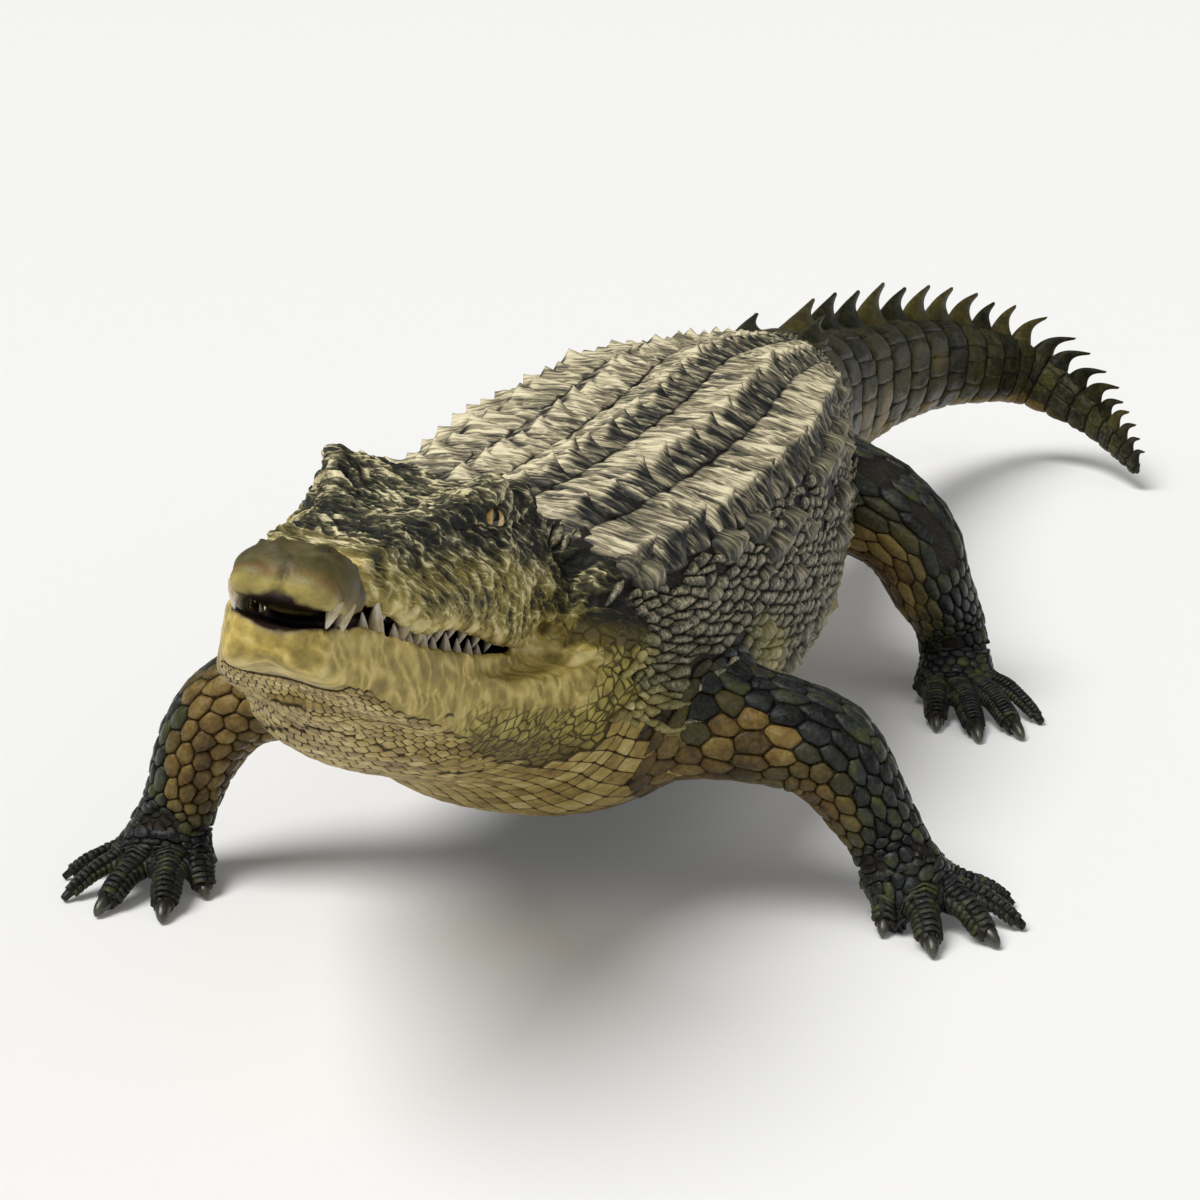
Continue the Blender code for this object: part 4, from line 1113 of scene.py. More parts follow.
@dataclass
class Limb:
    """A leg with its foot: path rows, digits, and where the foot's flesh starts."""

    name: str
    rows: Table
    digits: tuple
    webbed: bool

    def ahead(self) -> Array:
        """Returns the way the foot points, level."""
        d = self.tips() - self.roots()
        return d / np.linalg.norm(d)

    def roots(self) -> Array:
        """Returns the middle of the digits' roots, without the last digit."""
        return np.mean([d[:2] for d in self.digits[:-1]], axis=0)

    def tips(self) -> Array:
        """Returns the middle of the digits' tips, without the last digit."""
        return np.mean([d[2:4] for d in self.digits[:-1]], axis=0)

    def across(self) -> tuple[float, float, float]:
        """Returns the level direction across the foot."""
        ahead = self.ahead()
        return (ahead[1], -ahead[0], 0)

    def palm_rows(self) -> list:
        """Returns the palm's path: under the wrist, its middle, and between the digits' roots."""
        wrist, ahead = np.array(self.rows[-1][:3]), self.ahead()
        spread = .5 * np.linalg.norm(np.subtract(self.digits[-1][:2], self.digits[0][:2]))
        spread += .018 if self.webbed else .03
        back = wrist[:2] - ahead * .03
        middle = (wrist[:2] + self.roots()) / 2
        front = self.roots() + ahead * .012
        return [(*back, .03, .022, .02, .034, 2.3), (*middle, .034, spread * .92, .03, .037, 2.4),
                (*front, .024, spread, .02, .026, 2.4)]

    def digit_rows(self, digit: tuple, knuckled: bool = True) -> Array:
        """One digit's path: it leaves the palm, arches over its knuckle and meets the floor.

        Args:
            digit: Root x, y, tip x, y, root radius, tip radius, and whether it has a claw.
            knuckled: Says whether it swells at each joint.

        Returns:
            Path rows for tube_rings.
        """
        bx, by, tx, ty, wide, thin, clawed = digit
        s = np.linspace(0, 1, 13) * (.86 if clawed else 1)
        share = s / s[-1]
        radius = wide + (thin - wide) * s
        z = .028 * (1 - share) + (radius * .92 - .0025) * share + .011 * np.sin(np.pi * share)
        if knuckled:
            radius = radius * (1 + .09 * bump_at(share, .38, .12) + .07 * bump_at(share, .74, .09))
        return np.stack([bx + (tx - bx) * s, by + (ty - by) * s, z, radius, radius * .92, radius * .92,
                         2 + 0 * s], -1)

    def shells(self) -> list[tuple[Array, Array]]:
        """Returns the leg, palm, digits and web as closed shells."""
        turn = full_turn(40)
        made = [closed_tube(tube_rings(self.rows, np.linspace(0, 1, 60), turn, (0, 1, .1)))]
        made.append(closed_tube(
            tube_rings(self.palm_rows(), np.linspace(0, 1, 14), turn, self.across(), True)))
        # Two balls fill the wrist between the leg's end and the palm.
        wrist, middle = np.array(self.rows[-1][:3]), np.array(self.palm_rows()[1][:3])
        made.append(closed_tube(ball(wrist + (0, 0, .004), (.046, .044, .04))))
        made.append(closed_tube(ball(wrist * .45 + middle * .55 + (0, 0, .004), (.05, .046, .033))))
        for digit in self.digits:
            rows = self.digit_rows(digit)
            made.append(closed_tube(tube_rings(rows, np.linspace(0, 1, 24), turn[::2], self.across(), True)))
        if self.webbed:
            for a, b in zip(self.digits[:-1], self.digits[1:]):
                made.append(self.web(a, b))
        return made

    def web(self, a: tuple, b: tuple) -> tuple[Array, Array]:
        """A sagging sheet between two digits, thick enough to last, out to two thirds of them.

        Args:
            a: One digit.
            b: The next.

        Returns:
            Points and triangles.
        """
        ra, rb = (resampled(self.digit_rows(d), np.linspace(.0, .62, 8))[:, :3] for d in (a, b))
        s = np.linspace(0, 1, 9)[:, None, None]
        reach = 1 - .55 * np.sin(np.pi * s[..., 0])
        row = np.linspace(0, 7, 8)[None, :] * reach
        i = np.clip(row.astype(int), 0, 6)
        f = (row - i)[..., None]
        pa, pb = (r[i] * (1 - f) + r[i + 1] * f for r in (ra, rb))
        mid = pa * (1 - s) + pb * s
        mid[..., 2] = np.minimum(mid[..., 2], .03) - .006 * np.sin(np.pi * s[..., 0])
        ring = np.concatenate([mid + (0, 0, .0035), mid[:, ::-1] - (0, 0, .0055)], 1)
        return closed_tube(ring)


LIMBS = (
    Limb("front_left", ARM_LEFT, HAND_LEFT, False),
    Limb("front_right", ARM_RIGHT, HAND_RIGHT, False),
    Limb("hind_left", LEG_LEFT, FOOT_LEFT, True),
    Limb("hind_right", LEG_RIGHT, FOOT_RIGHT, True))


@dataclass
class Skin:
    """The one skin that carries every scale, with the folded hide of the head on it."""

    voxel: float = .0032
    quick: float = .0042
    coat_depth: float = .003
    triangles: int = 196000
    finish: bpy.types.Material | None = None
    points: Array = field(default_factory=lambda: np.zeros((0, 3)))
    faces: Array = field(default_factory=lambda: np.zeros((0, 3), int))

    def shells(self) -> list[tuple[Array, Array]]:
        """Returns body, skull, jaw and limbs as closed shells."""
        turn = full_turn(96)
        made = [closed_tube(tube_rings(BODY, np.linspace(0, 1, 260), turn, dense=420)),
                closed_tube(upper_rings(head_stations(90, 1.16), 45, 21)),
                closed_tube(jaw_rings(head_stations(90, 1.2), 45, 21))]
        # The nostril disc, its front lobes, the tongue against the palate, then each cheek's muscle.
        for centre, size in (((0, .074, .042), (.087, .07, .05)), ((.036, .02, .032), (.04, .028, .0265)),
                             ((-.036, .02, .032), (.04, .028, .0265)), ((0, .022, .029), (.024, .027, .0225)),
                             ((0, .32, -.004), (.074, .25, .026)), ((.205, .99, -.075), (.055, .14, .085)),
                             ((-.205, .99, -.075), (.055, .14, .085))):
            made.append(closed_tube(on_head(ball(centre, size))))
        for limb in LIMBS:
            made += limb.shells()
        return made

    def modified(self, mesh: bpy.types.Mesh, kind: str, settings: dict,
                 group: Array | None = None) -> bpy.types.Mesh:
        """Runs one modifier over a mesh and returns the result.

        Args:
            mesh: The mesh to work on.
            kind: The modifier's type.
            settings: Its properties.
            group: Weight per point of a vertex group named keep.

        Returns:
            A new mesh.
        """
        piece = bpy.data.objects.new("working", mesh)
        bpy.context.scene.collection.objects.link(piece)
        if group is not None:
            keep = piece.vertex_groups.new(name="keep")
            for value in np.unique(group):
                keep.add(np.flatnonzero(group == value).tolist(), float(value), "REPLACE")
        modifier = piece.modifiers.new("work", kind)
        for key, value in settings.items():
            setattr(modifier, key, value)
        graph = bpy.context.evaluated_depsgraph_get()
        made = bpy.data.meshes.new_from_object(piece.evaluated_get(graph))
        bpy.data.objects.remove(piece)
        return made

    def arrays(self, mesh: bpy.types.Mesh) -> tuple[Array, Array]:
        """Reads a mesh back as points and triangles.

        Args:
            mesh: The mesh.

        Returns:
            Points and triangles.
        """
        mesh.calc_loop_triangles()
        points = np.empty(len(mesh.vertices) * 3, np.float32)
        mesh.vertices.foreach_get("co", points)
        faces = np.empty(len(mesh.loop_triangles) * 3, np.int32)
        mesh.loop_triangles.foreach_get("vertices", faces)
        return points.reshape(-1, 3).astype(float), faces.reshape(-1, 3).astype(int)

    def merged(self) -> None:
        """Melts the shells into one shell, thins it away from the head, and smooths its joins."""
        points, faces = joined(self.shells())
        mesh = bpy.data.meshes.new("skin_work")
        mesh.from_pydata(points.tolist(), [], faces.tolist())
        size = self.voxel
        mesh = self.modified(mesh, "REMESH", {"mode": "VOXEL", "voxel_size": size})
        points, faces = self.arrays(mesh)
        x, t, z = off_head(points).T
        inner = (np.abs(x) < .8 * curve_value(UPPER_WIDTH, t)) & (z > curve_value(JAW_LIP, t) - .03) & (
            z < curve_value(UPPER_LIP, t) + .035)
        near_head = (bare(points, point_normals(points, faces)) > .02) & ~inner
        feet = points[:, 2] < .055
        group = np.where(near_head, 0.0, np.where(feet, .8, 1.0))
        fewer = self.triangles / len(faces)
        log.info("melted skin: %d triangles", len(faces))
        mesh = self.modified(mesh, "DECIMATE", {"ratio": fewer, "vertex_group": "keep",
                                                "vertex_group_factor": 1.0}, group)
        points, faces = self.arrays(mesh)
        head = off_head(points)
        log.info("thinned skin: %d triangles", len(faces))
        weight = np.zeros(len(points))
        for limb in LIMBS:
            rows = np.array(limb.rows)
            root = rows[1, :3]
            reach = .115 if limb.name.startswith("front") else .15
            weight = np.maximum(weight, np.exp(-(np.linalg.norm(points - root, axis=1) / reach) ** 4))
            wrist = np.linalg.norm(points - rows[-1, :3] - (0, 0, .012), axis=1)
            weight = np.maximum(weight, np.exp(-(wrist / .074) ** 4) * rise(points[:, 2], .004, .03))
        neck = bump_at(head[:, 1], 1.13, .085) * rise(head[:, 1], .97, 1.06)
        weight = np.maximum(weight, neck * (points[:, 1] < -.5))
        points = relaxed(points, faces, weight, 26)
        small = np.exp(-((points[:, 2] - .04) / .035) ** 4) * (np.abs(points[:, 0] + .04) > .2)
        points = relaxed(points, faces, small * (points[:, 1] < .5), 3)
        gentle = np.where(head[:, 1] < 1.1, 1.0, .5)
        self.points, self.faces = relaxed(points, faces, gentle, 2), faces

    def build(self) -> bpy.types.Object:
        """Makes the skin's mesh, moved by the hide's relief, and returns the piece."""
        self.merged()
        normals = point_normals(self.points, self.faces)
        hide = HeadHide(self.points, normals)
        coated = hide.coated()
        depth = self.coat_depth * coated * (.4 + .6 * rise(self.points[:, 2], .03, .1))
        self.points = self.points + normals * (hide.relief() - depth)[:, None]
        self.points[:, 2] = np.maximum(self.points[:, 2], .0004)
        # The relief value carries the wrinkles' height, which the hide turns into painted highlights on
        # crests and painted shade in hollows.
        values = {"ochre": markings(self.points, normals)[1], "coated": coated, "mouth": hide.mouth(),
                  "relief": hide.height, "top": hide.top(), "jaw": hide.smooth(), "nose": hide.disc(),
                  "plated": hide.plated()}
        return new_piece("skin", self.points, self.faces, self.finish, "hide_olive", values)


@dataclass
class Wrap:
    """A loft read by share along its path and share round its girth, 0 at the top, 1 underneath."""

    rings: Array
    half: Array = field(init=False)
    length: float = field(init=False)

    def __post_init__(self) -> None:
        """Spreads each ring's points evenly on each side of the top."""
        n, m = self.rings.shape[:2]
        step = np.linalg.norm(np.diff(self.rings, axis=1), axis=2)
        run = np.concatenate([np.zeros((n, 1)), np.cumsum(step, 1)], 1)
        q = np.linspace(-1, 1, 241)
        top, end = run[:, m // 2], run[:, -1]
        at = np.where(q[None] < 0, top[:, None] * (1 + q), top[:, None] + (end - top)[:, None] * q)
        even = [np.stack([np.interp(at[i], run[i], self.rings[i, :, k]) for k in range(3)], -1)
                for i in range(n)]
        self.rings, self.half = np.array(even), end / 2
        mid = self.rings.mean(1)
        self.length = float(np.linalg.norm(np.diff(mid, axis=0), axis=1).sum())

    def read(self, s: Array, q: Array) -> Array:
        """Reads places on the surface.

        Args:
            s: Shares along the path.
            q: Shares round the girth, which wrap past the underside.

        Returns:
            Places, blended between the four nearest grid points.
        """
        n, m = self.rings.shape[:2]
        a = np.clip(s, 0, 1) * (n - 1)
        b = ((q + 1) % 2) / 2 * (m - 1)
        i, j = np.clip(a.astype(int), 0, n - 2), np.clip(b.astype(int), 0, m - 2)
        f, g = (a - i)[..., None], (b - j)[..., None]
        r = self.rings
        return (r[i, j] * (1 - f) * (1 - g) + r[i + 1, j] * f * (1 - g) + r[i, j + 1] * (1 - f) * g
                + r[i + 1, j + 1] * f * g)

    def axis(self, s: Array) -> Array:
        """Returns the middle of the ring at each share.

        Args:
            s: Shares along the path.

        Returns:
            One place per share.
        """
        a = np.clip(s, 0, 1) * (len(self.rings) - 1)
        mid = self.rings.mean(1)
        return np.stack([np.interp(a, np.arange(len(mid)), mid[:, k]) for k in range(3)], -1)

    def girth(self, s: Array) -> Array:
        """Returns half the girth at each share, in metres."""
        return np.interp(np.clip(s, 0, 1) * (len(self.half) - 1), np.arange(len(self.half)), self.half)


ROUND = np.radians(np.linspace(270, -90, 481))


def body_wrap() -> Wrap:
    """Returns the body's surface, neck to tail tip."""
    return Wrap(tube_rings(BODY, np.linspace(0, 1, 520), ROUND, dense=520))


def body_share(y: Array) -> Array:
    """Returns the share of the body's path at each distance back, before the tail turns."""
    s = np.linspace(0, .85, 500)
    return np.interp(y, resampled(BODY, s)[:, 1], s)


def cells(rows: int, columns: int, stagger: float, zig: float, jitter: float, seed: int,
          closed: bool = True) -> tuple[Array, Array]:
    """A brick or honeycomb pattern with wandering corners that neighbours share.

    Line i holds corners at every half column. Corners where the row above has a wall stand higher
    by zig and the others lower, which turns bricks into six-sided cells. Odd rows shift by the
    stagger times a half column.

    Args:
        rows: Rows along.
        columns: Cells in a row.
        stagger: 1 for bricks, 0 for a plain grid.
        zig: Height of the zigzag in rows.
        jitter: Greatest wander of a corner in cells.
        seed: Chooses the wander.
        closed: Says whether the rows meet themselves.

    Returns:
        Six corners per cell and one middle, as column and row places.
    """
    i, j = (v.ravel() for v in np.meshgrid(np.arange(rows), np.arange(columns), indexing="ij"))
    odd = (i % 2) * (1 if stagger else 0)
    first = 2 * j + odd

    def corner(line: Array, k: Array) -> Array:
        """Returns the place of corner k on a line.

        Args:
            line: The lines' numbers.
            k: The corners' numbers on them.

        Returns:
            Column and row places.
        """
        wrapped = k % (2 * columns) if closed else k
        key = line * 7919 + wrapped
        wall_above = (k % 2) == (line % 2) * (1 if stagger else 0)
        dx, dy = (chance(key, seed) - .5) * 2 * jitter, (chance(key, seed + 1) - .5) * 2 * jitter
        return np.stack([k / 2 + dx, line + np.where(wall_above, zig, -zig) + dy], -1)

    loops = [corner(i, first), corner(i, first + 1), corner(i, first + 2),
             corner(i + 1, first + 2), corner(i + 1, first + 1), corner(i + 1, first)]
    loops = np.stack(loops, 1)
    return loops, loops.mean(1)


@dataclass(frozen=True)
class PlateShape:
    """Heights of a scale over its skin at its rim, shoulder and crown, and its surroundings, in metres."""

    rim: float
    shoulder: float
    crown: float
    groove: float
    sunk: float = .0045
    lean: float = 0.0
    inner: float = .7
    # line: the rim ring's share of the dark groove colour, which paints shade in the crevice.
    line: float = .74


@dataclass
class Layout:
    """Keeps the skin and the places already taken by scales."""

    skin: Skin
    taken: list[Array] = field(default_factory=list)
    sizes: list[Array] = field(default_factory=list)
    tree: BVHTree = field(init=False)

    def __post_init__(self) -> None:
        """Makes the skin searchable."""
        self.tree = BVHTree.FromPolygons(self.skin.points.tolist(), self.skin.faces.tolist())

    def nearest(self, points: Array) -> tuple[Array, Array]:
        """Returns the nearest places on the skin and their distances.

        Args:
            points: Places, any number of rows of three.

        Returns:
            Places on the skin, and a distance for each.
        """
        flat = points.reshape(-1, 3)
        found = [self.tree.find_nearest(p) for p in flat.tolist()]
        place = np.array([f[0] for f in found])
        return place.reshape(points.shape), np.array([f[3] for f in found]).reshape(points.shape[:-1])

    def free(self, centres: Array, radius: Array, share: float = .42) -> Array:
        """Says which new scales stand clear of those already laid, and books them.

        Args:
            centres: The new scales' middles.
            radius: Their radii.
            share: How much of both radii must lie between two middles.

        Returns:
            One truth value per scale.
        """
        good = np.ones(len(centres), bool)
        if self.taken:
            old, size = np.concatenate(self.taken), np.concatenate(self.sizes)
            tree = KDTree(len(old))
            for n, p in enumerate(old.tolist()):
                tree.insert(p, n)
            tree.balance()
            near = [tree.find(p) for p in centres.tolist()]
            gap, which = np.array([f[2] for f in near]), np.array([f[1] for f in near])
            good = gap > share * (radius + size[which])
        self.taken.append(centres[good])
        self.sizes.append(radius[good])
        return good


@dataclass
class Coat:
    """One joined mesh of many scales."""

    name: str
    finish: bpy.types.Material
    slot: str
    layout: Layout
    depth: float = .003
    points: list[Array] = field(default_factory=list)
    faces: list[Array] = field(default_factory=list)
    values: list[dict[str, Array]] = field(default_factory=list)
    bake: list[Array] = field(default_factory=list)
    count: int = 0

    def add(self, points: Array, faces: Array, values: dict[str, Array], bake: Array) -> None:
        """Adds scales of one kind.

        Args:
            points: Plates by points by three.
            faces: Triangles of one plate.
            values: Numbers by attribute name, per plate and point.
            bake: Map places, plates by points by two.
        """
        plates, each = points.shape[:2]
        first = self.count + np.arange(plates)[:, None, None] * each
        self.points.append(points.reshape(-1, 3))
        self.faces.append((faces[None] + first).reshape(-1, 3))
        self.values.append({key: np.broadcast_to(v, (plates, each)).ravel() for key, v in values.items()})
        self.bake.append(bake.reshape(-1, 2))
        self.count += plates * each

    def lay(self, wrap: Wrap, corners: Array, middle: Array, shape: PlateShape, seed: int,
            window: tuple = (0, 0, 1, 1), reach: float = .016, size: Array | float = 1.0,
            share: float = .42, wear: float = 0.0) -> None:
        """Lays many-sided scales whose corners are given by shares along and round a surface.

        Each outline is drawn from the cell's corners, cut back at each so that it has twelve
        points, and shrunk by the groove. A sunk skirt, a rim, a shoulder and a crown follow, each
        at its own height along the plate's outward direction.

        Args:
            wrap: The surface.
            corners: Plates by six by two shares.
            middle: Plates by two shares.
            shape: The heights.
            seed: Chooses each scale's tone.
            window: The part of the bake map that the surface fills: u, v, width, height.
            reach: Furthest a scale may stand from the skin before it is left out.
            size: Scales the heights, one number or one per plate.
            share: How close to earlier scales it may come.
            wear: How pale the crown is against its rim, partly weathering and partly a painted highlight.
        """
        centre = wrap.read(middle[:, 0], middle[:, 1])
        near, gap = self.layout.nearest(centre)
        keep = gap < reach
        keep &= bare(near, unit(near - wrap.axis(middle[:, 0]))) < .5
        corners, middle, centre = corners[keep], middle[keep], near[keep]
        size = np.broadcast_to(np.asarray(size, float), keep.shape)[keep]
        if not len(centre):
            return
        loop, _ = self.layout.nearest(wrap.read(corners[..., 0], corners[..., 1]))
        radius = np.linalg.norm(loop - centre[:, None], axis=2).mean(1)
        good = self.layout.free(centre, radius, share) & (radius < 1.7 * np.median(radius))
        loop, centre, middle, radius, size = loop[good], centre[good], middle[good], radius[good], size[good]
        if not len(centre):
            return
        turned = np.cross(loop, np.roll(loop, -1, 1)).sum(1)
        normal = unit(turned)
        normal *= np.sign((normal * (centre - wrap.axis(middle[:, 0]))).sum(1, keepdims=True))
        flip = (turned * normal).sum(1) < 0
        loop[flip] = loop[flip][:, ::-1]
        before, after = np.roll(loop, 1, 1), np.roll(loop, -1, 1)
        cut = .17
        outline = np.stack([loop * (1 - cut) + before * cut, loop * (1 - cut) + after * cut], 2)
        outline = outline.reshape(len(loop), 12, 3)
        spoke = outline - centre[:, None]
        far = np.linalg.norm(spoke, axis=2, keepdims=True)
        spoke = spoke * np.clip(1 - shape.groove / np.maximum(far, 1e-6), .45, 1)
        n = normal[:, None]
        tall = size[:, None, None] * (.85 + .3 * chance(np.arange(len(centre)), seed + 5))[:, None, None]
        base = centre[:, None] + n * self.depth * .55
        back = unit(wrap.read(middle[:, 0] + .01, middle[:, 1]) - wrap.read(middle[:, 0] - .01, middle[:, 1]))
        back = back[:, None] * (shape.lean * radius)[:, None, None]
        rings = [base + spoke * 1.05 - n * shape.sunk, base + spoke + n * shape.rim * tall,
                 base + spoke * shape.inner + n * shape.shoulder * tall + back * .5,
                 base + n * shape.crown * tall + back]
        points = np.concatenate(rings, 1)
        j = np.arange(12)
        k = (j + 1) % 12
        tri = [np.stack([a + j, a + k, a + 12 + k], 1) for a in (0, 12)]
        tri += [np.stack([a + j, a + 12 + k, a + 12 + j], 1) for a in (0, 12)]
        tri.append(np.stack([24 + j, 24 + k, 0 * j + 36], 1))
        # Skirt and rim take the dark groove colour as painted shade in the crevice; the crown goes pale,
        # partly weathering and partly a painted highlight.
        edge = np.repeat([1.0, shape.line, .1, 0.0], [12, 12, 12, 1])
        dark, ochre = markings(centre, normal)
        tone = chance(np.arange(len(centre)), seed) * 2 - 1
        values = {"edge": edge[None], "dark": dark[:, None], "ochre": ochre[:, None], "tone": tone[:, None],
                  "wear": (np.repeat([0, .1, .6, 1.0], [12, 12, 12, 1]) * wear)[None]}
        spot = np.stack([(middle[:, 1] + 1) / 2 * window[2] + window[0],
                         middle[:, 0] * window[3] + window[1]], -1)
        local = np.concatenate([np.stack([np.cos(j * np.pi / 6), np.sin(j * np.pi / 6)], -1) * r
                                for r in (1, .9, .6)] + [np.zeros((1, 2))])
        self.add(points, np.concatenate(tri), values, spot[:, None] + local * .0015)

    def lay_grids(self, wrap: Wrap, middle: Array, half: Array, size: tuple[int, int], height: Array,
                  lean: Array, marks: dict[str, Array], skirt: float = .0075) -> None:
        """Lays four-sided scales that each carry a grid of points, with a skirt down into the skin.

        Args:
            wrap: The surface.
            middle: Plates by two shares.
            half: Half sizes in shares, plates by two.
            size: How many points along and round each plate has.
            height: Plates by points, how far each stands out.
            lean: Plates by points, how far each is pushed back.
            marks: Values per point, or per plate and point, without the skirt.
            skirt: How far the skirt goes down.
        """
        b, a = flat_grid(size)
        place = wrap.read(middle[:, :1] + half[:, :1] * b * np.sqrt(1 - .2 * a * a),
                          middle[:, 1:] + half[:, 1:] * a * np.sqrt(1 - .2 * b * b))
        s, q = middle.T
        centre = wrap.read(s, q)
        near, gap = self.layout.nearest(centre)
        keep = gap < .03
        self.layout.free(near[keep], np.linalg.norm(place[:, 0] - place[:, -1], axis=1)[keep] * .35, 0)
        back = wrap.read(s + .004, q) - wrap.read(s - .004, q)
        n = unit(np.cross(wrap.read(s, q + .01) - wrap.read(s, q - .01), back))
        n *= np.sign((n * (centre - wrap.axis(s))).sum(1, keepdims=True))
        points = (place + (near - centre)[:, None] + n[:, None] * (height + .0016)[..., None]
                  + unit(back)[:, None] * lean[..., None])
        grid = np.arange(size[0] * size[1]).reshape(size)
        quad = np.stack([grid[:-1, :-1], grid[1:, :-1], grid[1:, 1:], grid[:-1, 1:]], -1).reshape(-1, 4)
        rim = np.concatenate([grid[:-1, 0], grid[-1, :-1], grid[:0:-1, -1], grid[0, :0:-1]])
        low = points[:, rim] - n[:, None] * skirt
        k, count = np.arange(len(rim)), size[0] * size[1]
        nxt = (k + 1) % len(rim)
        quads = np.concatenate([quad, np.stack([count + k, count + nxt, rim[nxt], rim[k]], -1)])
        tri = np.concatenate([quads[:, [0, 1, 2]], quads[:, [0, 2, 3]]])
        p0, p1, p2 = (np.concatenate([points[0], low[0]])[tri[:, x]] for x in range(3))
        if (np.cross(p1 - p0, p2 - p0) @ n[0]).sum() < 0:
            tri = tri[:, ::-1]
        marked = markings(points.reshape(-1, 3), np.repeat(n, count, 0))
        values = {key: np.concatenate([v.reshape(-1, count), v.reshape(-1, count)[:, rim]], 1)
                  for key, v in zip(("dark", "ochre"), marked)}
        # The skirt takes the full dark groove colour, painted shade where it dips into the skin.
        for key, value in marks.items():
            value = np.broadcast_to(value, (len(s), count))
            values[key] = np.concatenate([value, np.full((len(s), len(rim)), float(key == "edge"))], 1)
        local = np.stack([a, b], -1)
        local = np.concatenate([local, local[rim] * 1.05]) * .0014
        spot = np.stack([(q + 1) / 2, s], -1)[:, None] + local
        self.add(np.concatenate([points, low], 1)[keep], tri,
                 {key: np.broadcast_to(v, (len(s), count + len(rim)))[keep] for key, v in values.items()},
                 spot[keep])

    def build(self) -> bpy.types.Object:
        """Joins the scales into one piece."""
        keys = self.values[0].keys()
        values = {key: np.concatenate([v[key] for v in self.values]) for key in keys}
        return new_piece(self.name, np.concatenate(self.points), np.concatenate(self.faces), self.finish,
                         self.slot, values, np.concatenate(self.bake))


def flat_grid(size: tuple[int, int]) -> tuple[Array, Array]:
    """Returns the first and second places, from -1 to 1, of a grid's points in rows."""
    grids = np.meshgrid(np.linspace(-1, 1, size[0]), np.linspace(-1, 1, size[1]), indexing="ij")
    return grids[0].ravel(), grids[1].ravel()


def crests(points: Array, seed: int) -> Array:
    """Sharp-crested folds, one less 1.9 times the noise's size, to the power 1.4.

    Args:
        points: Places in cells of the noise.
        seed: Chooses the folds.

    Returns:
        Heights from 0 to 1.
    """
    return np.clip(1 - 1.9 * np.abs(grain(points, seed)), 0, 1) ** 1.4


@dataclass
class BackShield:
    """Rows of folded, keeled scutes down the back."""

    finish: bpy.types.Material
    layout: Layout
    wrap: Wrap
    first: float = -.6
    last: float = .6
    step: float = .058
    # Each row's distance from the midline, half width and keel height, in metres.
    rows: tuple = ((.036, .037, .015), (.117, .045, .0165), (.203, .043, .02))

    def narrowing(self, s: Array) -> Array:
        """Returns how much narrower than at its widest the shield is, as a share of the girth."""
        wide = resampled(BODY, np.atleast_1d(s))[:, 3].reshape(np.shape(s))
        return (.22 + .78 * wide / .243) / self.wrap.girth(s)

    def half_width(self, s: Array) -> Array:
        """Returns the shield's half width as a share round the girth."""
        return .246 * self.narrowing(s)

    def build(self) -> bpy.types.Object:
        """Raises each scute over a grid of its own.

        Sharp folds run outwards over each. Its keel climbs towards the back with the power 1.3,
        slopes gently on the inner side and steeply on the outer one, and its crest leans back.
        """
        count = int(round((self.last - self.first) / self.step))
        i, c, side = (v.ravel() for v in np.meshgrid(np.arange(count), np.arange(3), (-1, 1), indexing="ij"))
        odd, away = chance(i * 8 + c * 2 + side, 3), np.array(self.rows)[c]
        y = self.first + (i + .5) * self.step + (odd - .5) * .01
        s = body_share(y)
        narrow = self.narrowing(s)
        q = side * (away[:, 0] + (odd - .5) * .004) * narrow
        half = np.stack([.54 * self.step / self.wrap.length + 0 * s, away[:, 1] * narrow], -1)
        b, a = flat_grid((17, 21))
        u = a[None] * side[:, None]
        strong = np.interp(y, (-.6, -.45, .2, .45, .6), (.75, 1.0, 1.0, .75, .3))
        tall = (away[:, 2] * (.85 + .7 * odd) * strong)[:, None]
        keel = .16 - .08 * b
        width = np.where(u < keel, .6, .34)
        ridge = np.exp(-np.abs((u - keel) / width) ** 1.05)
        climb = np.clip((b + 1.0) / 1.66, 0, 1) ** 2.3 * (1 - rise(b, .66, .86))
        key = (odd * 97 + side * 31)[:, None]
        fold = crests(np.stack([u * .7 + key, b * 2.6 - 1.1 * u + key, key + 0 * u], -1), 5)
        fine = crests(np.stack([u * 1.4 + key, b * 5.5 - 2.2 * u, key + 0 * u], -1), 6)
        edge = np.maximum(np.abs(a), np.abs(b))
        folded = (.0036 * (fold - .4) + .0018 * (fine - .4)) * (1 - edge**8) - .005 * rise(b, .7, .95)
        height = .003 * (1 - edge**4) + tall * ridge * climb + folded
        # This colour mark paints the keel's inner slope and the fold crests pale as highlights, partly sun
        # fading. It paints the outer slope, rear drop and front edge dark as painted shade, and the rims take
        # the groove colour as painted shade.
        relief = (.2 + .46 * fold + .36 * fine + .4 * ridge * climb * (u < keel + .05)
                  - .42 * rise(u, keel + .02, keel + .2) * rise(b + 1, .3, .9) - .55 * rise(b, .66, .86)
                  - .4 * rise(-b, .6, .95))
        coat = Coat("back_scutes", self.finish, "hide_dark", self.layout)
        coat.lay_grids(self.wrap, np.stack([s, q], -1), half, (17, 21), height, .6 * tall * ridge * climb,
                       {"edge": edge**5, "tone": (odd * 2 - 1)[:, None], "wear": np.clip(relief, -.2, 1.2)})
        return coat.build()


@dataclass(frozen=True)
class Patch:
    """A patch of scales on the body: borders, cells and heights.

    The borders are metres back and shares round the girth, the cell's width, in metres, holds
    where the body is widest, and stagger, zig, jitter and seed are as in cells.
    """

    back: tuple[float, float]
    girth: tuple[float, float]
    cell: tuple[float, float]
    stagger: int
    zig: float
    jitter: float
    seed: int
    shape: PlateShape
    beside: bool = False


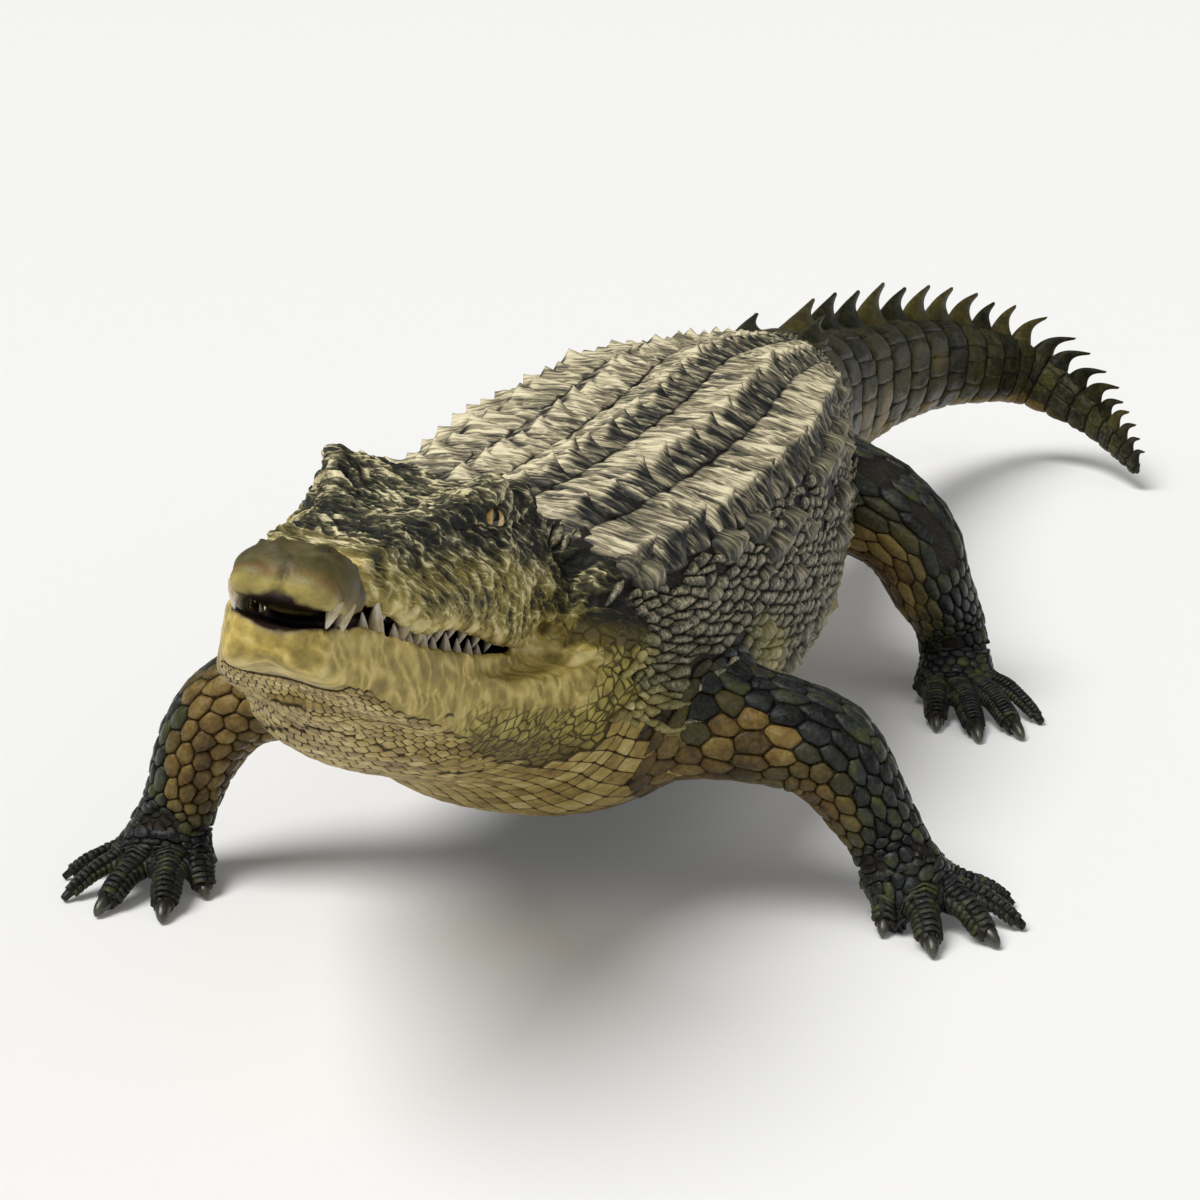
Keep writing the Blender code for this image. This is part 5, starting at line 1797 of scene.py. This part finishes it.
@dataclass
class BodyScales:
    """Flank knobs and scales, neck scales and bumps, and the plates of belly and throat."""

    back: bpy.types.Material
    crest: bpy.types.Material
    belly: bpy.types.Material
    layout: Layout
    wrap: Wrap
    shield: BackShield
    belly_from: float = .66

    def border(self, s: Array) -> Array:
        """Returns where the belly plates start, as a share round the girth."""
        y = resampled(BODY, np.atleast_1d(s))[:, 1].reshape(np.shape(s))
        return np.interp(y, (-1.0, -.75, -.55, .3, .6), (.52, .52, .6, self.belly_from, .7))

    def spread(self, patch: Patch) -> tuple[Array, Array]:
        """Spreads a patch's cells over the body.

        Args:
            patch: The patch.

        Returns:
            Corners and middles, as shares along and round.
        """
        (y0, y1), (q0, q1), (across, along) = patch.back, patch.girth, patch.cell
        s0, s1 = body_share(np.array([y0, y1]))
        wide = self.wrap.girth(np.linspace(s0, s1, 20)).max() * abs(q1 - q0)
        columns, rows = max(3, int(wide / across)), max(2, int((y1 - y0) / along))
        corner, middle = (
            np.stack([s0 + (s1 - s0) * v[..., 1] / rows, q0 + (q1 - q0) * v[..., 0] / columns], -1)
            for v in cells(rows, columns, patch.stagger, patch.zig, patch.jitter, patch.seed, False))
        return corner, middle

    def lay_patch(self, coat: Coat, patch: Patch, seed: int, share: float, over: float,
                  **looks: float) -> None:
        """Lays a patch above the border to the belly plates, or below it.

        Args:
            coat: Takes the scales.
            patch: The patch.
            seed: Chooses each scale's tone.
            share: As in Coat.lay.
            over: How far it runs past the border, as a share round the girth, 0 for one below it.
            looks: More of Coat.lay's settings.
        """
        corner, middle = self.spread(patch)
        s, q = middle[:, 0], np.abs((middle[:, 1] + 1) % 2 - 1)
        inside = q < self.border(s) + over if over else q > self.border(s)
        if patch.beside:
            y = resampled(BODY, s)[:, 1]
            inside &= q > self.shield.half_width(s) * (y < self.shield.last) * (y > self.shield.first)
            looks["size"] = (.5 + 1.1 * chance(np.arange(len(middle)), 19))[inside]
        coat.lay(self.wrap, corner[inside], middle[inside], patch.shape, seed, share=share, **looks)

    def hexagons(self, s: Array, q: Array, long_: Array | float, wide: Array | float) -> tuple[Array, Array]:
        """Returns six corners and the middle of scales with these half sizes in metres.

        Args:
            s: Shares along the body.
            q: Shares round it.
            long_: Half lengths.
            wide: Half widths.

        Returns:
            Corners and middles, as shares along and round.
        """
        turn = np.radians(np.array([210, 270, 330, 30, 90, 150]))
        half = np.stack(np.broadcast_arrays(long_ / self.wrap.length, wide / self.wrap.girth(s)), -1)
        middle = np.stack([s, q], -1)
        return middle[:, None] + np.stack([np.cos(turn), np.sin(turn)], -1) * half[:, None], middle

    def knobs(self) -> tuple[Array, Array, Array]:
        """Returns corners and middles of the cones and ovals on the flanks, and their heights' scale."""
        s0, s1 = body_share(np.array([-.56, .62]))
        rows, lines = 24, (.365, .42, .47, .52, .575, .62)
        i, c, side = (v.ravel() for v in np.meshgrid(np.arange(rows), np.arange(6), [-1, 1], indexing="ij"))
        key = i * 20 + c * 2 + side
        s = s0 + (s1 - s0) * (i + .5 + .5 * (c % 2) + (chance(key, 5) - .5) * .7) / rows
        q = side * (np.array(lines)[c] + (chance(key, 6) - .5) * .04)
        cone = (c == 0) & (i < 16) | (c < 4) & (i > 3) & (chance(key, 9) > .84)
        size = np.where(cone, .021 + .006 * chance(key, 7), .0095 + .0115 * chance(key, 7) ** 1.7)
        keep = ((chance(key, 8) > .3) | cone) & (np.abs(q) < self.border(s) - .01)
        s, q, size, cone = s[keep], q[keep], size[keep], cone[keep]
        return *self.hexagons(s, q, size * 1.45, size * .95), np.where(cone, 2.3, size / .014)

    def build(self) -> list[bpy.types.Object]:
        """Builds flank, neck, belly and throat pieces."""
        made = []
        knobs = Coat("flank_knobs", self.crest, "hide_dark", self.layout)
        corner, middle, size = self.knobs()
        knobs.lay(self.wrap, corner, middle, PlateShape(.0012, .0046, .0088, .0002, lean=.35, inner=.58), 101,
                  size=size, share=.34, wear=.8)
        knobs.lay(self.wrap, *self.neck_bumps(), PlateShape(.0012, .0055, .0095, .0002, lean=.25), 103,
                  share=.3, wear=.6)
        made.append(knobs.build())
        for side, name in ((-1, "right"), (1, "left")):
            flank = Coat(f"flank_scales_{name}", self.back, "hide_dark", self.layout)
            shape = PlateShape(.0006, .0026, .0036, .0009, lean=.2, inner=.66)
            self.lay_patch(flank, Patch((-.69, .77), (side * .012, side * .72), (.0134, .024), 1, .22, .3,
                                        7 + side, shape, True), 105 + side, .34, .015, wear=.75)
            made.append(flank.build())
        neck = Coat("neck_scales", self.back, "hide_olive", self.layout)
        self.lay_patch(neck, Patch((-1.0, -.6), (-.56, .56), (.013, .021), 1, .22, .28, 31,
                                   PlateShape(.0006, .0026, .0036, .0009)), 111, .36, .01, wear=.7)
        made.append(neck.build())
        belly = Coat("belly_plates", self.belly, "hide_pale", self.layout)
        self.lay_patch(belly, Patch((-.74, .64), (-1.4, -.6), (.025, .0255), 0, 0.0, .06, 41,
                                    PlateShape(.0008, .0015, .0018, .0006, inner=.84, line=.95)), 121, .38, 0)
        self.lay_patch(belly, Patch((-1.08, -.74), (-1.5, -.5), (.0205, .021), 1, .03, .12, 43,
                                    PlateShape(.0008, .0014, .0017, .0006, inner=.84, line=.95)), 122, .36, 0,
                       reach=.026)
        made.append(belly.build())
        return made

    def neck_bumps(self) -> tuple[Array, Array]:
        """Returns the cells of the paired bumps that stand behind the skull and jaw."""
        y = np.array([-.6, -.6, -.575, -.575, -.61, -.61])
        q = np.array([.26, -.26, .33, -.33, .41, -.41])
        return self.hexagons(body_share(y), q, .021, .016)


@dataclass
class Tail:
    """The tail's tall bands of plates, each with a hooked fin as long as the band."""

    finish: bpy.types.Material
    layout: Layout
    wrap: Wrap
    fins: int = 21
    first: float = 1.745
    last: float = 3.49
    pairs: int = 1
    total: float = 3.5

    def places(self) -> tuple[Array, Array, Array]:
        """Returns how far along each fin stands, its height and its length, in metres."""
        steps = np.interp(np.arange(self.fins), (0, 2, 4, 7, 8, 9, 12, 15, 17, 20),
                          (.14, .155, .14, .122, .1, .07, .046, .052, .042, .036))
        steps *= (self.last - self.first) / steps.sum()
        at = self.first + np.cumsum(steps) - steps / 2
        tall = np.interp(at, (1.8, 1.95, 2.1, 2.35, 2.8, 3.2, 3.4, 3.5),
                         (.028, .044, .06, .064, .06, .058, .05, .032))
        return at, tall, steps

    def bands(self) -> bpy.types.Object:
        """Lays one ring of tall plates under each fin, parted from the next by a deep groove.

        Each plate stands up by one less the fourth power of its place along, so that the bands
        are rounded, and the creases between plates of one band are shallow.
        """
        at, _, steps = self.places()
        middle, half, key = [], [], []
        for n, (place, step) in enumerate(zip(at, steps)):
            s = place / self.total
            columns = max(8, int(2 * float(self.wrap.girth(s)) / .04))
            wide = .6 + .8 * chance(np.arange(columns) + 40 * n, 30)
            cut = np.concatenate([[0], np.cumsum(wide)]) / wide.sum() * 2 - 1
            q = (cut[1:] + cut[:-1]) / 2
            middle.append(np.stack([s + 0 * q, q], -1))
            half.append(np.stack([.49 * step / self.total + 0 * q, (cut[1:] - cut[:-1]) * .515], -1))
            key.append(n + 0 * q)
        middle, half, key = (np.concatenate(v) for v in (middle, half, key))
        b, a = flat_grid((11, 7))
        odd, band = chance(np.arange(len(key)), 31), chance(key.astype(int), 32)
        size = np.interp(half[:, 0] * self.total, (.015, .07), (.55, 1.0))[:, None]
        shift = (odd * 53)[:, None]
        fold = crests(np.stack([a * .7 + shift, b * 1.3 + shift, shift + 0 * a], -1), 33)
        fine = crests(np.stack([a * 1.9 + shift, b * 3.1 + shift, shift + 0 * a], -1), 34)
        height = size * (.0066 * (1 - np.abs(b) ** 4) - .0007 * np.abs(a) ** 8
                         + (.0028 * (fold - .5) + .001 * (fine - .5)) * (1 - b**6))
        # The band's ends take the dark groove colour as painted shade in the deep grooves between bands, and
        # fold crests go pale as a painted highlight, partly weathering.
        edge = np.maximum(np.abs(b) ** 6, .22 * np.abs(a) ** 9)
        tone = np.clip(.4 * (odd - .5) + 1.3 * (band - .5), -1, 1)
        coat = Coat("tail_plates", self.finish, "hide_dark", self.layout)
        coat.lay_grids(self.wrap, middle, half, (11, 7), height, 0 * height,
                       {"edge": edge, "tone": tone[:, None], "wear": .5 * fold + .4 * fine}, .0085)
        return coat.build()

    def crest(self) -> bpy.types.Object:
        """Builds the fins: each is a blade as long as its band whose outline hooks back.

        At share h of its height the front edge has moved back by a length times 0.3 h and 0.7 h to
        the fourth power, the blade shortens mostly at its tip, and its thickness falls with one less
        h to the power 1.6.
        """
        at, tall, steps = self.places()
        fine = resampled(BODY, np.linspace(0, 1, 900))
        along, side, up = path_frames(fine[:, :3], (0, 0, 1), False)
        levels, sides = 17, 20
        h = np.linspace(0, 1, levels)
        turn = full_turn(sides)
        c, d = np.cos(turn), np.sin(turn)
        share = np.clip(h * 1.3 - .3, 0, 1)
        coat = Coat("tail_crest", self.finish, "hide_dark", self.layout)
        for n, (a, high, step) in enumerate(zip(at, tall, steps)):
            i = int(round(a / self.total * 899))
            pair = n < self.pairs
            for lean in ((-1, 1) if pair else (0,)):
                odd = float(chance(np.array([n * 2 + lean]), 12)[0])
                half = fine[i, 3]
                root = fine[i, :3] + side[i] * lean * half * .4 + up[i] * fine[i, 4] * (.93 if pair else .97)
                z = (h * 1.3 - .3) * high * (.92 + .16 * odd)
                hook = 1.02 + .12 * odd if step > .06 else 1.5
                front = hook * (.34 * share + .66 * share**3.4)
                long_ = (1 - .62 * share) * np.maximum(1 - share**9, 0) ** .6
                long_ = long_ - .1 * np.sin(np.pi * share) + .02
                x = .5 * long_[:, None] * np.sign(c) * np.abs(c) ** .8
                x = ((front + long_ / 2 - .5)[:, None] + x) * step
                thick = .0022 + (.36 * half + .003) * (1 - share) ** 1.6 * (.6 if pair else 1)
                y = thick[:, None] * d * (1 - .45 * c**4) + (lean * .25 * z)[:, None]
                y = y * (1 + .1 * grain(np.stack([x * 45, y * 20, z[:, None] * 60 + 0 * x + n], -1), 4))
                ring = root + along[i] * x[..., None] + side[i] * y[..., None] + up[i] * z[:, None, None]
                points, faces = closed_tube(ring)
                shade = np.concatenate([np.repeat(share, sides), [0, 1]])
                # The fin's root takes a dark line, painted shade in the crease against its band, and the fin
                # turns paler towards its tip.
                edge = np.concatenate([(.9 * (np.abs(share[:, None] - .03) < .03) + 0 * c).ravel(), [1, 0]])
                one = np.ones((1, len(points)))
                values = {"edge": edge[None], "dark": one * (.95 - .25 * (odd > .6)),
                          "ochre": one * .4 * (odd > .72), "tone": one * (odd * 1.6 - .9),
                          "wear": (shade**2 * .3)[None]}
                local = np.stack([np.concatenate([np.tile(c, levels), [0, 0]]), shade * 2 - 1], -1) * .0014
                coat.add(points[None], outward(points, faces), values,
                         (np.array([.5 + .02 * lean, a / self.total]) + local)[None])
        return coat.build()


@dataclass
class LimbScales:
    """Many-sided scales of one leg, its palm, and the cross ridges of its digits."""

    limb: Limb
    finish: bpy.types.Material
    layout: Layout
    across: float = .024
    along: float = .0232

    def lay_digits(self, coat: Coat) -> None:
        """Lays three columns of short plates over each digit.

        Args:
            coat: Takes the scales.
        """
        limb = self.limb
        for n, digit in enumerate(limb.digits):
            wrap = Wrap(tube_rings(limb.digit_rows(digit), np.linspace(0, 1, 80), ROUND[::4],
                                   limb.across(), True))
            rows = max(8, int(wrap.length * .76 / .0062))
            corner, middle = (np.stack([.12 + .76 * v[..., 1] / rows, (v[..., 0] - 1.5) / 1.5 * .86], -1)
                              for v in cells(rows, 3, 0, 0.0, .04, 500 + n))
            coat.lay(wrap, corner, middle, PlateShape(.0006, .0022, .0027, .0003, lean=.3, inner=.8), 510 + n,
                     (n / 5, .7, .19, .29), .012, share=.16, wear=.3)

    def lay_palm(self, coat: Coat) -> None:
        """Lays small scales over the back of the palm.

        Args:
            coat: Takes the scales.
        """
        limb = self.limb
        palm = Wrap(tube_rings(limb.palm_rows(), np.linspace(0, 1, 60), ROUND[::2], limb.across(), True))
        corner, middle = (np.stack([v[..., 1] / 9, -1 + v[..., 0] / 9], -1)
                          for v in cells(9, 18, 1, .16, .12, 540))
        good = palm.read(middle[:, 0], middle[:, 1])[:, 2] > .014
        coat.lay(palm, corner[good], middle[good], PlateShape(.0008, .0022, .0027, .0004, inner=.8), 541,
                 (0, .56, 1, .12), .04, share=.3, wear=.15)

    def lay_leg(self, coat: Coat) -> None:
        """Lays rows of many-sided scales round the leg, longer where it is stouter.

        Args:
            coat: Takes the scales.
        """
        leg = Wrap(tube_rings(self.limb.rows, np.linspace(0, 1, 220), ROUND, (0, 1, .1)))
        lines = [0.0]
        while lines[-1] < 1:
            half = float(leg.girth(np.array([lines[-1]]))[0])
            lines.append(lines[-1] + self.along * np.clip(half / .17, .68, 1.25) / leg.length)
        rows = np.arange(len(lines))
        columns = int(2 * leg.girth(np.array([.45]))[0] / self.across)
        corner, middle = (np.stack([np.interp(v[..., 1], rows, lines), -1 + 2 * v[..., 0] / columns], -1)
                          for v in cells(len(lines) - 1, columns, 1, .15, .13, 550))
        coat.lay(leg, corner, middle, PlateShape(.0012, .0032, .0041, .0005, inner=.8, line=.86), 551,
                 (0, 0, 1, .55), .034, share=.3, wear=.22)

    def build(self) -> bpy.types.Object:
        """Lays digits first, then palm, then leg, so that each gives way to the finer one."""
        coat = Coat(f"{self.limb.name}_scales", self.finish, "hide_dark", self.layout)
        self.lay_digits(coat)
        self.lay_palm(coat)
        self.lay_leg(coat)
        return coat.build()


@dataclass
class JawScales:
    """Fine plates on the pouch under the jaw."""

    finish: bpy.types.Material
    layout: Layout

    def build(self) -> bpy.types.Object:
        """Lays plates on the jaw's underside, longer towards the throat."""
        t = head_stations(220, 1.19)
        wrap = Wrap(jaw_rings(t, 121, 3)[:, 240::-1])
        coat = Coat("throat_scales", self.finish, "hide_pale", self.layout, depth=.0016)
        columns, rows = 25, 32
        corner, middle = cells(rows, columns, 1, .08, .16, 600, False)

        def place(v: Array) -> Array:
            """Turns column and row places into shares, rows longer towards the throat.

            Args:
                v: Column and row places.

            Returns:
                Shares along and round.
            """
            share = np.clip(v[..., 1] / rows, 0, 1)
            back = .1 + .9 * (share**1.15)
            index = np.interp(back * 1.19, t, np.arange(len(t))) / (len(t) - 1)
            return np.stack([index, -.68 + 1.36 * v[..., 0] / columns], -1)

        shape = PlateShape(.0005, .0011, .0013, .0007, inner=.86, sunk=.003, line=.97)
        coat.lay(wrap, place(corner), place(middle), shape, 601, reach=.018, share=.38)
        return coat.build()


UPPER_TEETH = ((.03, .6), (.075, 1.15), (.225, .6), (.28, 1.05), (.335, 1.2), (.395, .8),
               (.455, .95), (.52, .6), (.585, .7), (.65, .5), (.72, .5))
LOWER_TEETH = ((.145, .55), (.19, 1.35), (.25, .6), (.31, .75), (.365, 1.0), (.425, .6),
               (.49, .9), (.555, .55), (.62, .6), (.685, .45))


def horn_marks(s: Array, turn: Array, n: int) -> dict[str, Array]:
    """Returns a tooth's or claw's shares towards its tip and round it, set apart by its number."""
    return {"tip": np.append(np.repeat(s, len(turn)), [0, 1]),
            "round": np.append(np.tile(turn, len(s)), [0, 0]) + n}


@dataclass
class Teeth:
    """The conical teeth that the closed mouth still shows, upper ones outside the lower."""

    finish: bpy.types.Material
    length: float = .0165
    radius: float = .0074
    sides: int = 12
    levels: int = 8

    def row(self, table: Table, width: Table, lip: Table, down: float, inset: float,
            seed: int) -> tuple[list, list]:
        """Makes one jaw's teeth on both sides.

        Each is a cone whose radius shrinks as one less the share to the power 1.5, and whose
        middle bends inwards with the square of the share.

        Args:
            table: Place along the head and size of each tooth.
            width: The jaw's half width.
            lip: The lip's height.
            down: Minus one for the upper jaw's teeth, which point down.
            inset: Share of the half width that the roots stand at.
            seed: Chooses the small turns of each tooth.

        Returns:
            Shells and their values.
        """
        shells, marks = [], []
        s = np.linspace(0, 1, self.levels)
        turn = full_turn(self.sides)
        for n, (t, size) in enumerate(table):
            for side in (-1, 1):
                odd = chance(np.array([n * 2 + side, n * 2 + side + 50, n * 3 + side + 90]), seed) - .5
                at = np.array([t + .008 * odd[0]])
                full = float(rounded(at, .05)[0])
                x = float(curve_value(width, at)[0]) * inset * full
                z = float(curve_value(lip, at)[0])
                tall = self.length * size * (1 + .3 * odd[1]) / HEAD_LENGTH
                wide = self.radius * (.62 + .38 * size) / HEAD_LENGTH
                base = np.array([x, at[0] + .01 * (1 - full), z - down * .022])
                reach = tall + .022
                lean = np.array([.1 * (.5 - full) + .05 * odd[2], -.05 - .15 * (1 - full), 0])
                mid = base + s[:, None] * reach * (np.array([0, 0, down]) + lean)
                mid[:, 0] -= .0035 * s**2
                thick = wide * (1 - s**1.7 * .93)
                ring = np.stack([np.cos(turn), 1.12 * np.sin(turn), 0 * turn], -1)
                ring = mid[:, None] + thick[:, None, None] * ring
                ring[..., 0] *= side
                points, faces = closed_tube(on_head(ring))
                shells.append((points, outward(points, faces)))
                marks.append(horn_marks(s, turn, n))
        return shells, marks

    def build(self) -> list[bpy.types.Object]:
        """Builds both jaws' teeth."""
        made = []
        for name, table, width, lip, down, inset in (
                ("teeth_upper", UPPER_TEETH, UPPER_WIDTH, UPPER_LIP, -1, .86),
                ("teeth_lower", LOWER_TEETH, JAW_WIDTH, JAW_LIP, 1, .82)):
            shells, marks = self.row(table, width, lip, down, inset, 70 + down)
            values = {key: np.concatenate([mark[key] for mark in marks]) for key in marks[0]}
            made.append(new_piece(name, *joined(shells), self.finish, "claw_horn", values))
        return made


@dataclass
class Eye:
    """One eyeball and its two lids."""

    side: Side
    finish: bpy.types.Material
    lid_finish: bpy.types.Material
    gaze: tuple[float, float, float] = (.62, -.74, .26)

    def axes(self) -> Array:
        """Returns the eye's across, high and outward directions in head coordinates."""
        out = unit(np.array(self.gaze) * (self.side.value, 1, 1))
        high = unit(np.array((0, 0, 1)) - out * out[2])
        return np.stack([np.cross(high, out), high, out])

    def placed(self, rings: Array) -> tuple[Array, Array]:
        """Closes rings and sets them in the head at the eye's place.

        Args:
            rings: Rings by points by three, in eye radii.

        Returns:
            Points and faces.
        """
        place = np.array(EYE_PLACE) * (self.side.value, 1, 1)
        points, faces = closed_tube(on_head(rings * EYE_RADIUS / HEAD_LENGTH @ self.axes() + place))
        return points, outward(points, faces)

    def ball(self) -> bpy.types.Object:
        """A sphere whose poles look along the gaze, with its clear front raised a little."""
        polar = np.linspace(0, np.pi, 40)[1:-1]
        local = sphere(polar, 56)
        swell = 1 + .05 * np.exp(-((polar / .55) ** 4))
        points, faces = self.placed(local * swell[:, None, None])
        values = {name: np.append(local[..., n], [0, 0]) for n, name in enumerate(("across", "high"))}
        piece = new_piece(f"eyeball_{self.side.name.lower()}", points, faces, self.finish, "eye", values)
        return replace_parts(piece, f"eye_{self.side.name.lower()}")

    def lids(self) -> bpy.types.Object:
        """Upper and lower lid: folds that run from corner to corner round the ball.

        A lid's edge leaves the level line by its opening times one less the square of the place
        between the corners, and four rounded folds follow outside it, further from the ball.
        """
        count, folds = 40, 22
        a = np.linspace(-1.12, 1.12, count)[:, None]
        b = np.linspace(0, 1, folds)[None, :]
        shells, heights = [], []
        for lift, opening, spread in ((1, .46, .95), (-1, .42, .85)):
            edge = opening * np.maximum(1 - (a / 1.1) ** 2, 0) ** .8 + .03
            lat = (edge + b * spread) * lift
            fold = np.sin(b * np.pi * 3.2 + .4) ** 2
            height = 1.035 + .13 * rise(b, 0, .1) - .22 * b**1.6 + .055 * fold * (1 - .4 * b)
            bumps = np.stack([a * 5 + 0 * b, b * 7 + 0 * a, 0 * a * b + lift], -1)
            height = height + .03 * grain(bumps, 3)
            angle_a, angle_b = a * 1.02 * (1 + .25 * b), lat
            local = np.stack([np.sin(angle_a) * np.cos(angle_b), np.sin(angle_b) + 0 * angle_a,
                              np.cos(angle_a) * np.cos(angle_b)], -1) * height[..., None]
            inner = local * ((height - .16) / height)[..., None]
            shells.append(self.placed(np.concatenate([local, inner[:, ::-1]], 1)))
            # Lid colour follows the folds: their crests pale as painted highlights, the hollows and the lid's
            # inner face dark as painted shade.
            heights.append(np.append(np.concatenate([.1 + .75 * fold + 0 * a, 0 * a * b], 1), [0, 0]))
        points, faces = joined(shells)
        relief = np.concatenate(heights) * .6
        return new_piece(f"lids_{self.side.name.lower()}", points, faces, self.lid_finish, "hide_olive",
                         {"relief": relief, "top": np.ones(len(relief))})


@dataclass
class Claws:
    """The stout claws on the three inner digits of each foot."""

    finish: bpy.types.Material
    sides: int = 20
    levels: int = 16

    def claw(self, digit: tuple, rows: Array, n: int) -> tuple[Array, Array, dict[str, Array]]:
        """One claw: round above, flatter below, bending down to its point.

        Args:
            digit: The digit it ends.
            rows: The digit's path.
            n: The digit's number.

        Returns:
            Points, faces and values.
        """
        end = rows[-1][:3]
        ahead = unit(np.array([digit[2] - digit[0], digit[3] - digit[1], 0.0]))
        root, tip = end - ahead * .016 + (0, 0, .0025), np.array([digit[2], digit[3], .0034])
        s = np.linspace(0, 1, self.levels)
        mid = root + (tip - root) * s[:, None] + np.outer(4 * s * (1 - s), (0, 0, .0046))
        radius = digit[5] * .96 * (1 - .42 * s**1.4) * np.sqrt(1 - .97 * s**7)
        radius = radius * (1 - .05 * bump_at(s, .3, .06))
        path = np.concatenate([mid, np.stack([radius * .86, radius, radius * .8], -1), 2 + 0 * s[:, None]], 1)
        turn = full_turn(self.sides)
        points, faces = closed_tube(tube_rings(path, s, turn, (0, 0, 1), False))
        points[:, 2] = np.maximum(points[:, 2], .0006)
        return points, outward(points, faces), horn_marks(s, turn, n)

    def build(self) -> list[bpy.types.Object]:
        """Builds every claw in place of its CAD node."""
        made = []
        for limb in LIMBS:
            for n, digit in enumerate(limb.digits):
                if not digit[6]:
                    continue
                points, faces, values = self.claw(digit, limb.digit_rows(digit, False), n)
                piece = new_piece(f"horn_claw_{limb.name}_{n + 1}", points, faces, self.finish, "claw_horn",
                                  values)
                made.append(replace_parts(piece, f"claw_{limb.name}_{n + 1}"))
        return made


@dataclass
class Studio:
    """Plain pale floor, soft warm lights and the camera."""

    lens: float = 67.95
    glow: float = .07
    place: tuple[float, float, float] = (.7, -2.64, .946)
    turn: tuple[float, float] = (74.8, 16.83)

    def floor(self) -> None:
        """Lays a smooth pale floor, a grid of quads wide enough to fill the view."""
        x, y = np.meshgrid(np.linspace(-300, 300, 25), np.linspace(-40, 1400, 41), indexing="ij")
        points = np.stack([x, y, 0 * x], -1).reshape(-1, 3)
        mesh = bpy.data.meshes.new("floor")
        i, j = np.meshgrid(np.arange(24), np.arange(40), indexing="ij")
        k = i * 41 + j
        quads = np.stack([k, k + 41, k + 42, k + 1], -1).reshape(-1, 4)
        mesh.from_pydata(points.tolist(), [], quads.tolist())
        finish, _, shader = new_finish("matt_white_paper")
        set_up(shader, {"Base Color": linear("#e4e5e6"), "Emission Color": linear("#ffffff"),
                        "Emission Strength": self.glow, "Roughness": .9, "Specular IOR Level": .1})
        mesh.materials.append(finish)
        piece = bpy.data.objects.new("floor", mesh)
        bpy.context.scene.collection.objects.link(piece)
        piece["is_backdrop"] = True

    def sun(self, name: str, away: tuple[float, float, float], angle: float, power: float,
            colour: str) -> None:
        """Adds one far, wide light, which lights the whole floor evenly.

        Args:
            name: The lamp's name.
            away: The direction towards it.
            angle: How wide it looks, in degrees, which softens its shadows.
            power: Watts per square metre.
            colour: Its hex colour.
        """
        lamp = bpy.data.lights.new(name, "SUN")
        lamp.angle, lamp.energy, lamp.color = float(np.radians(angle)), power, linear(colour)[:3]
        piece = bpy.data.objects.new(name, lamp)
        bpy.context.scene.collection.objects.link(piece)
        piece.rotation_euler = (float(np.arctan2(np.hypot(away[0], away[1]), away[2])), 0.0,
                                float(np.arctan2(away[0], -away[1])))

    def build(self) -> None:
        """Sets up floor, lights, surroundings and camera."""
        self.floor()
        scene = bpy.context.scene
        scene.view_settings.view_transform = "Standard"
        world = bpy.data.worlds.new("studio")
        world.use_nodes = True
        set_up(world.node_tree.nodes["Background"], {"Color": linear("#fcfcfc"), "Strength": .15})
        scene.world = world
        self.sun("key", (-.3, -.42, .85), 36, 3.2, "#fffdf9")
        self.sun("side", (.65, -.45, .7), 60, .5, "#fffdf9")
        lens = bpy.data.cameras.new("camera")
        lens.lens, lens.sensor_width = self.lens, 36.0
        lens.clip_end = 3000.0
        camera = bpy.data.objects.new("camera", lens)
        scene.collection.objects.link(camera)
        camera.location = (np.array(self.place) + SHIFT).tolist()
        camera.rotation_euler = (np.radians(self.turn[0]), 0.0, np.radians(self.turn[1]))
        scene.camera = camera


def main() -> None:
    """Builds every piece in order."""
    logging.basicConfig(level=logging.INFO)
    Studio().build()
    hide = HideFinish().make()
    flesh = Skin(finish=hide)
    skin = flesh.build()
    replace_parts(skin, *[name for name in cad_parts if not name.startswith(("claw", "eye"))])
    eye = EyeFinish().make()
    for side in Side:
        seeing = Eye(side, eye, hide)
        seeing.ball()
        seeing.lids()
    Teeth(HornFinish("tooth_enamel", "#c4b48e", "#f6f2e6", .28).make()).build()
    Claws(HornFinish("claw_horn", "#1c1e18", "#56564a", .32, "#34342a").make()).build()
    layout, wrap = Layout(flesh), body_wrap()
    # Scute finishes: the back's crests go cream, partly sun fading and partly a painted highlight, with slate
    # folds as painted shade; the flank and knobs take much of the same, and limbs, tail and belly little.
    back = ScuteFinish("sun_bleached_scute_keratin", bleach_and_light=.94, flowing=True, roughness=.5).make()
    flank = ScuteFinish("flank_scale_keratin", bleach_and_light=.62, crest_share=.72, roughness=.4, keeps=.85,
                        pale_low="#7a7038", pale_high="#b3a765").make()
    knob = ScuteFinish("flank_knob_keratin", bleach_and_light=.66, crest_share=.6, flowing=True, roughness=.44,
                       keeps=.6, pale_low="#7a7038", pale_high="#b3a765").make()
    limb = ScuteFinish("limb_scale_keratin", "#0a0d0e", "#24292a", "#3f3219", "#70592a", "#414421", "#8c7845",
                       bleach_and_light=.06, fibre=.4, roughness=.28, shine=.2).make()
    rings = ScuteFinish("tail_ring_keratin", "#0b0c08", "#2e2e16", "#463818", "#7a6330", "#454319", "#9b8850",
                        bleach_and_light=.05, fibre=.45, roughness=.3, shine=.1).make()
    belly = ScuteFinish("belly_plate_keratin", pale_low="#7d652c", pale_high="#b09850", cream="#d3c184",
                        middle="#6d5c2e", bleach_and_light=.05, fibre=.25, roughness=.42).make()
    shield = BackShield(back, layout, wrap)
    shield.build()
    for one in LIMBS:
        LimbScales(one, limb, layout).build()
    tail = Tail(rings, layout, wrap)
    tail.bands()
    tail.crest()
    JawScales(belly, layout).build()
    BodyScales(flank, knob, belly, layout, wrap, shield).build()
    [[list(corner) for corner in box] for box in (CAD_BOX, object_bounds())]


if __name__ == "__main__":
    main()
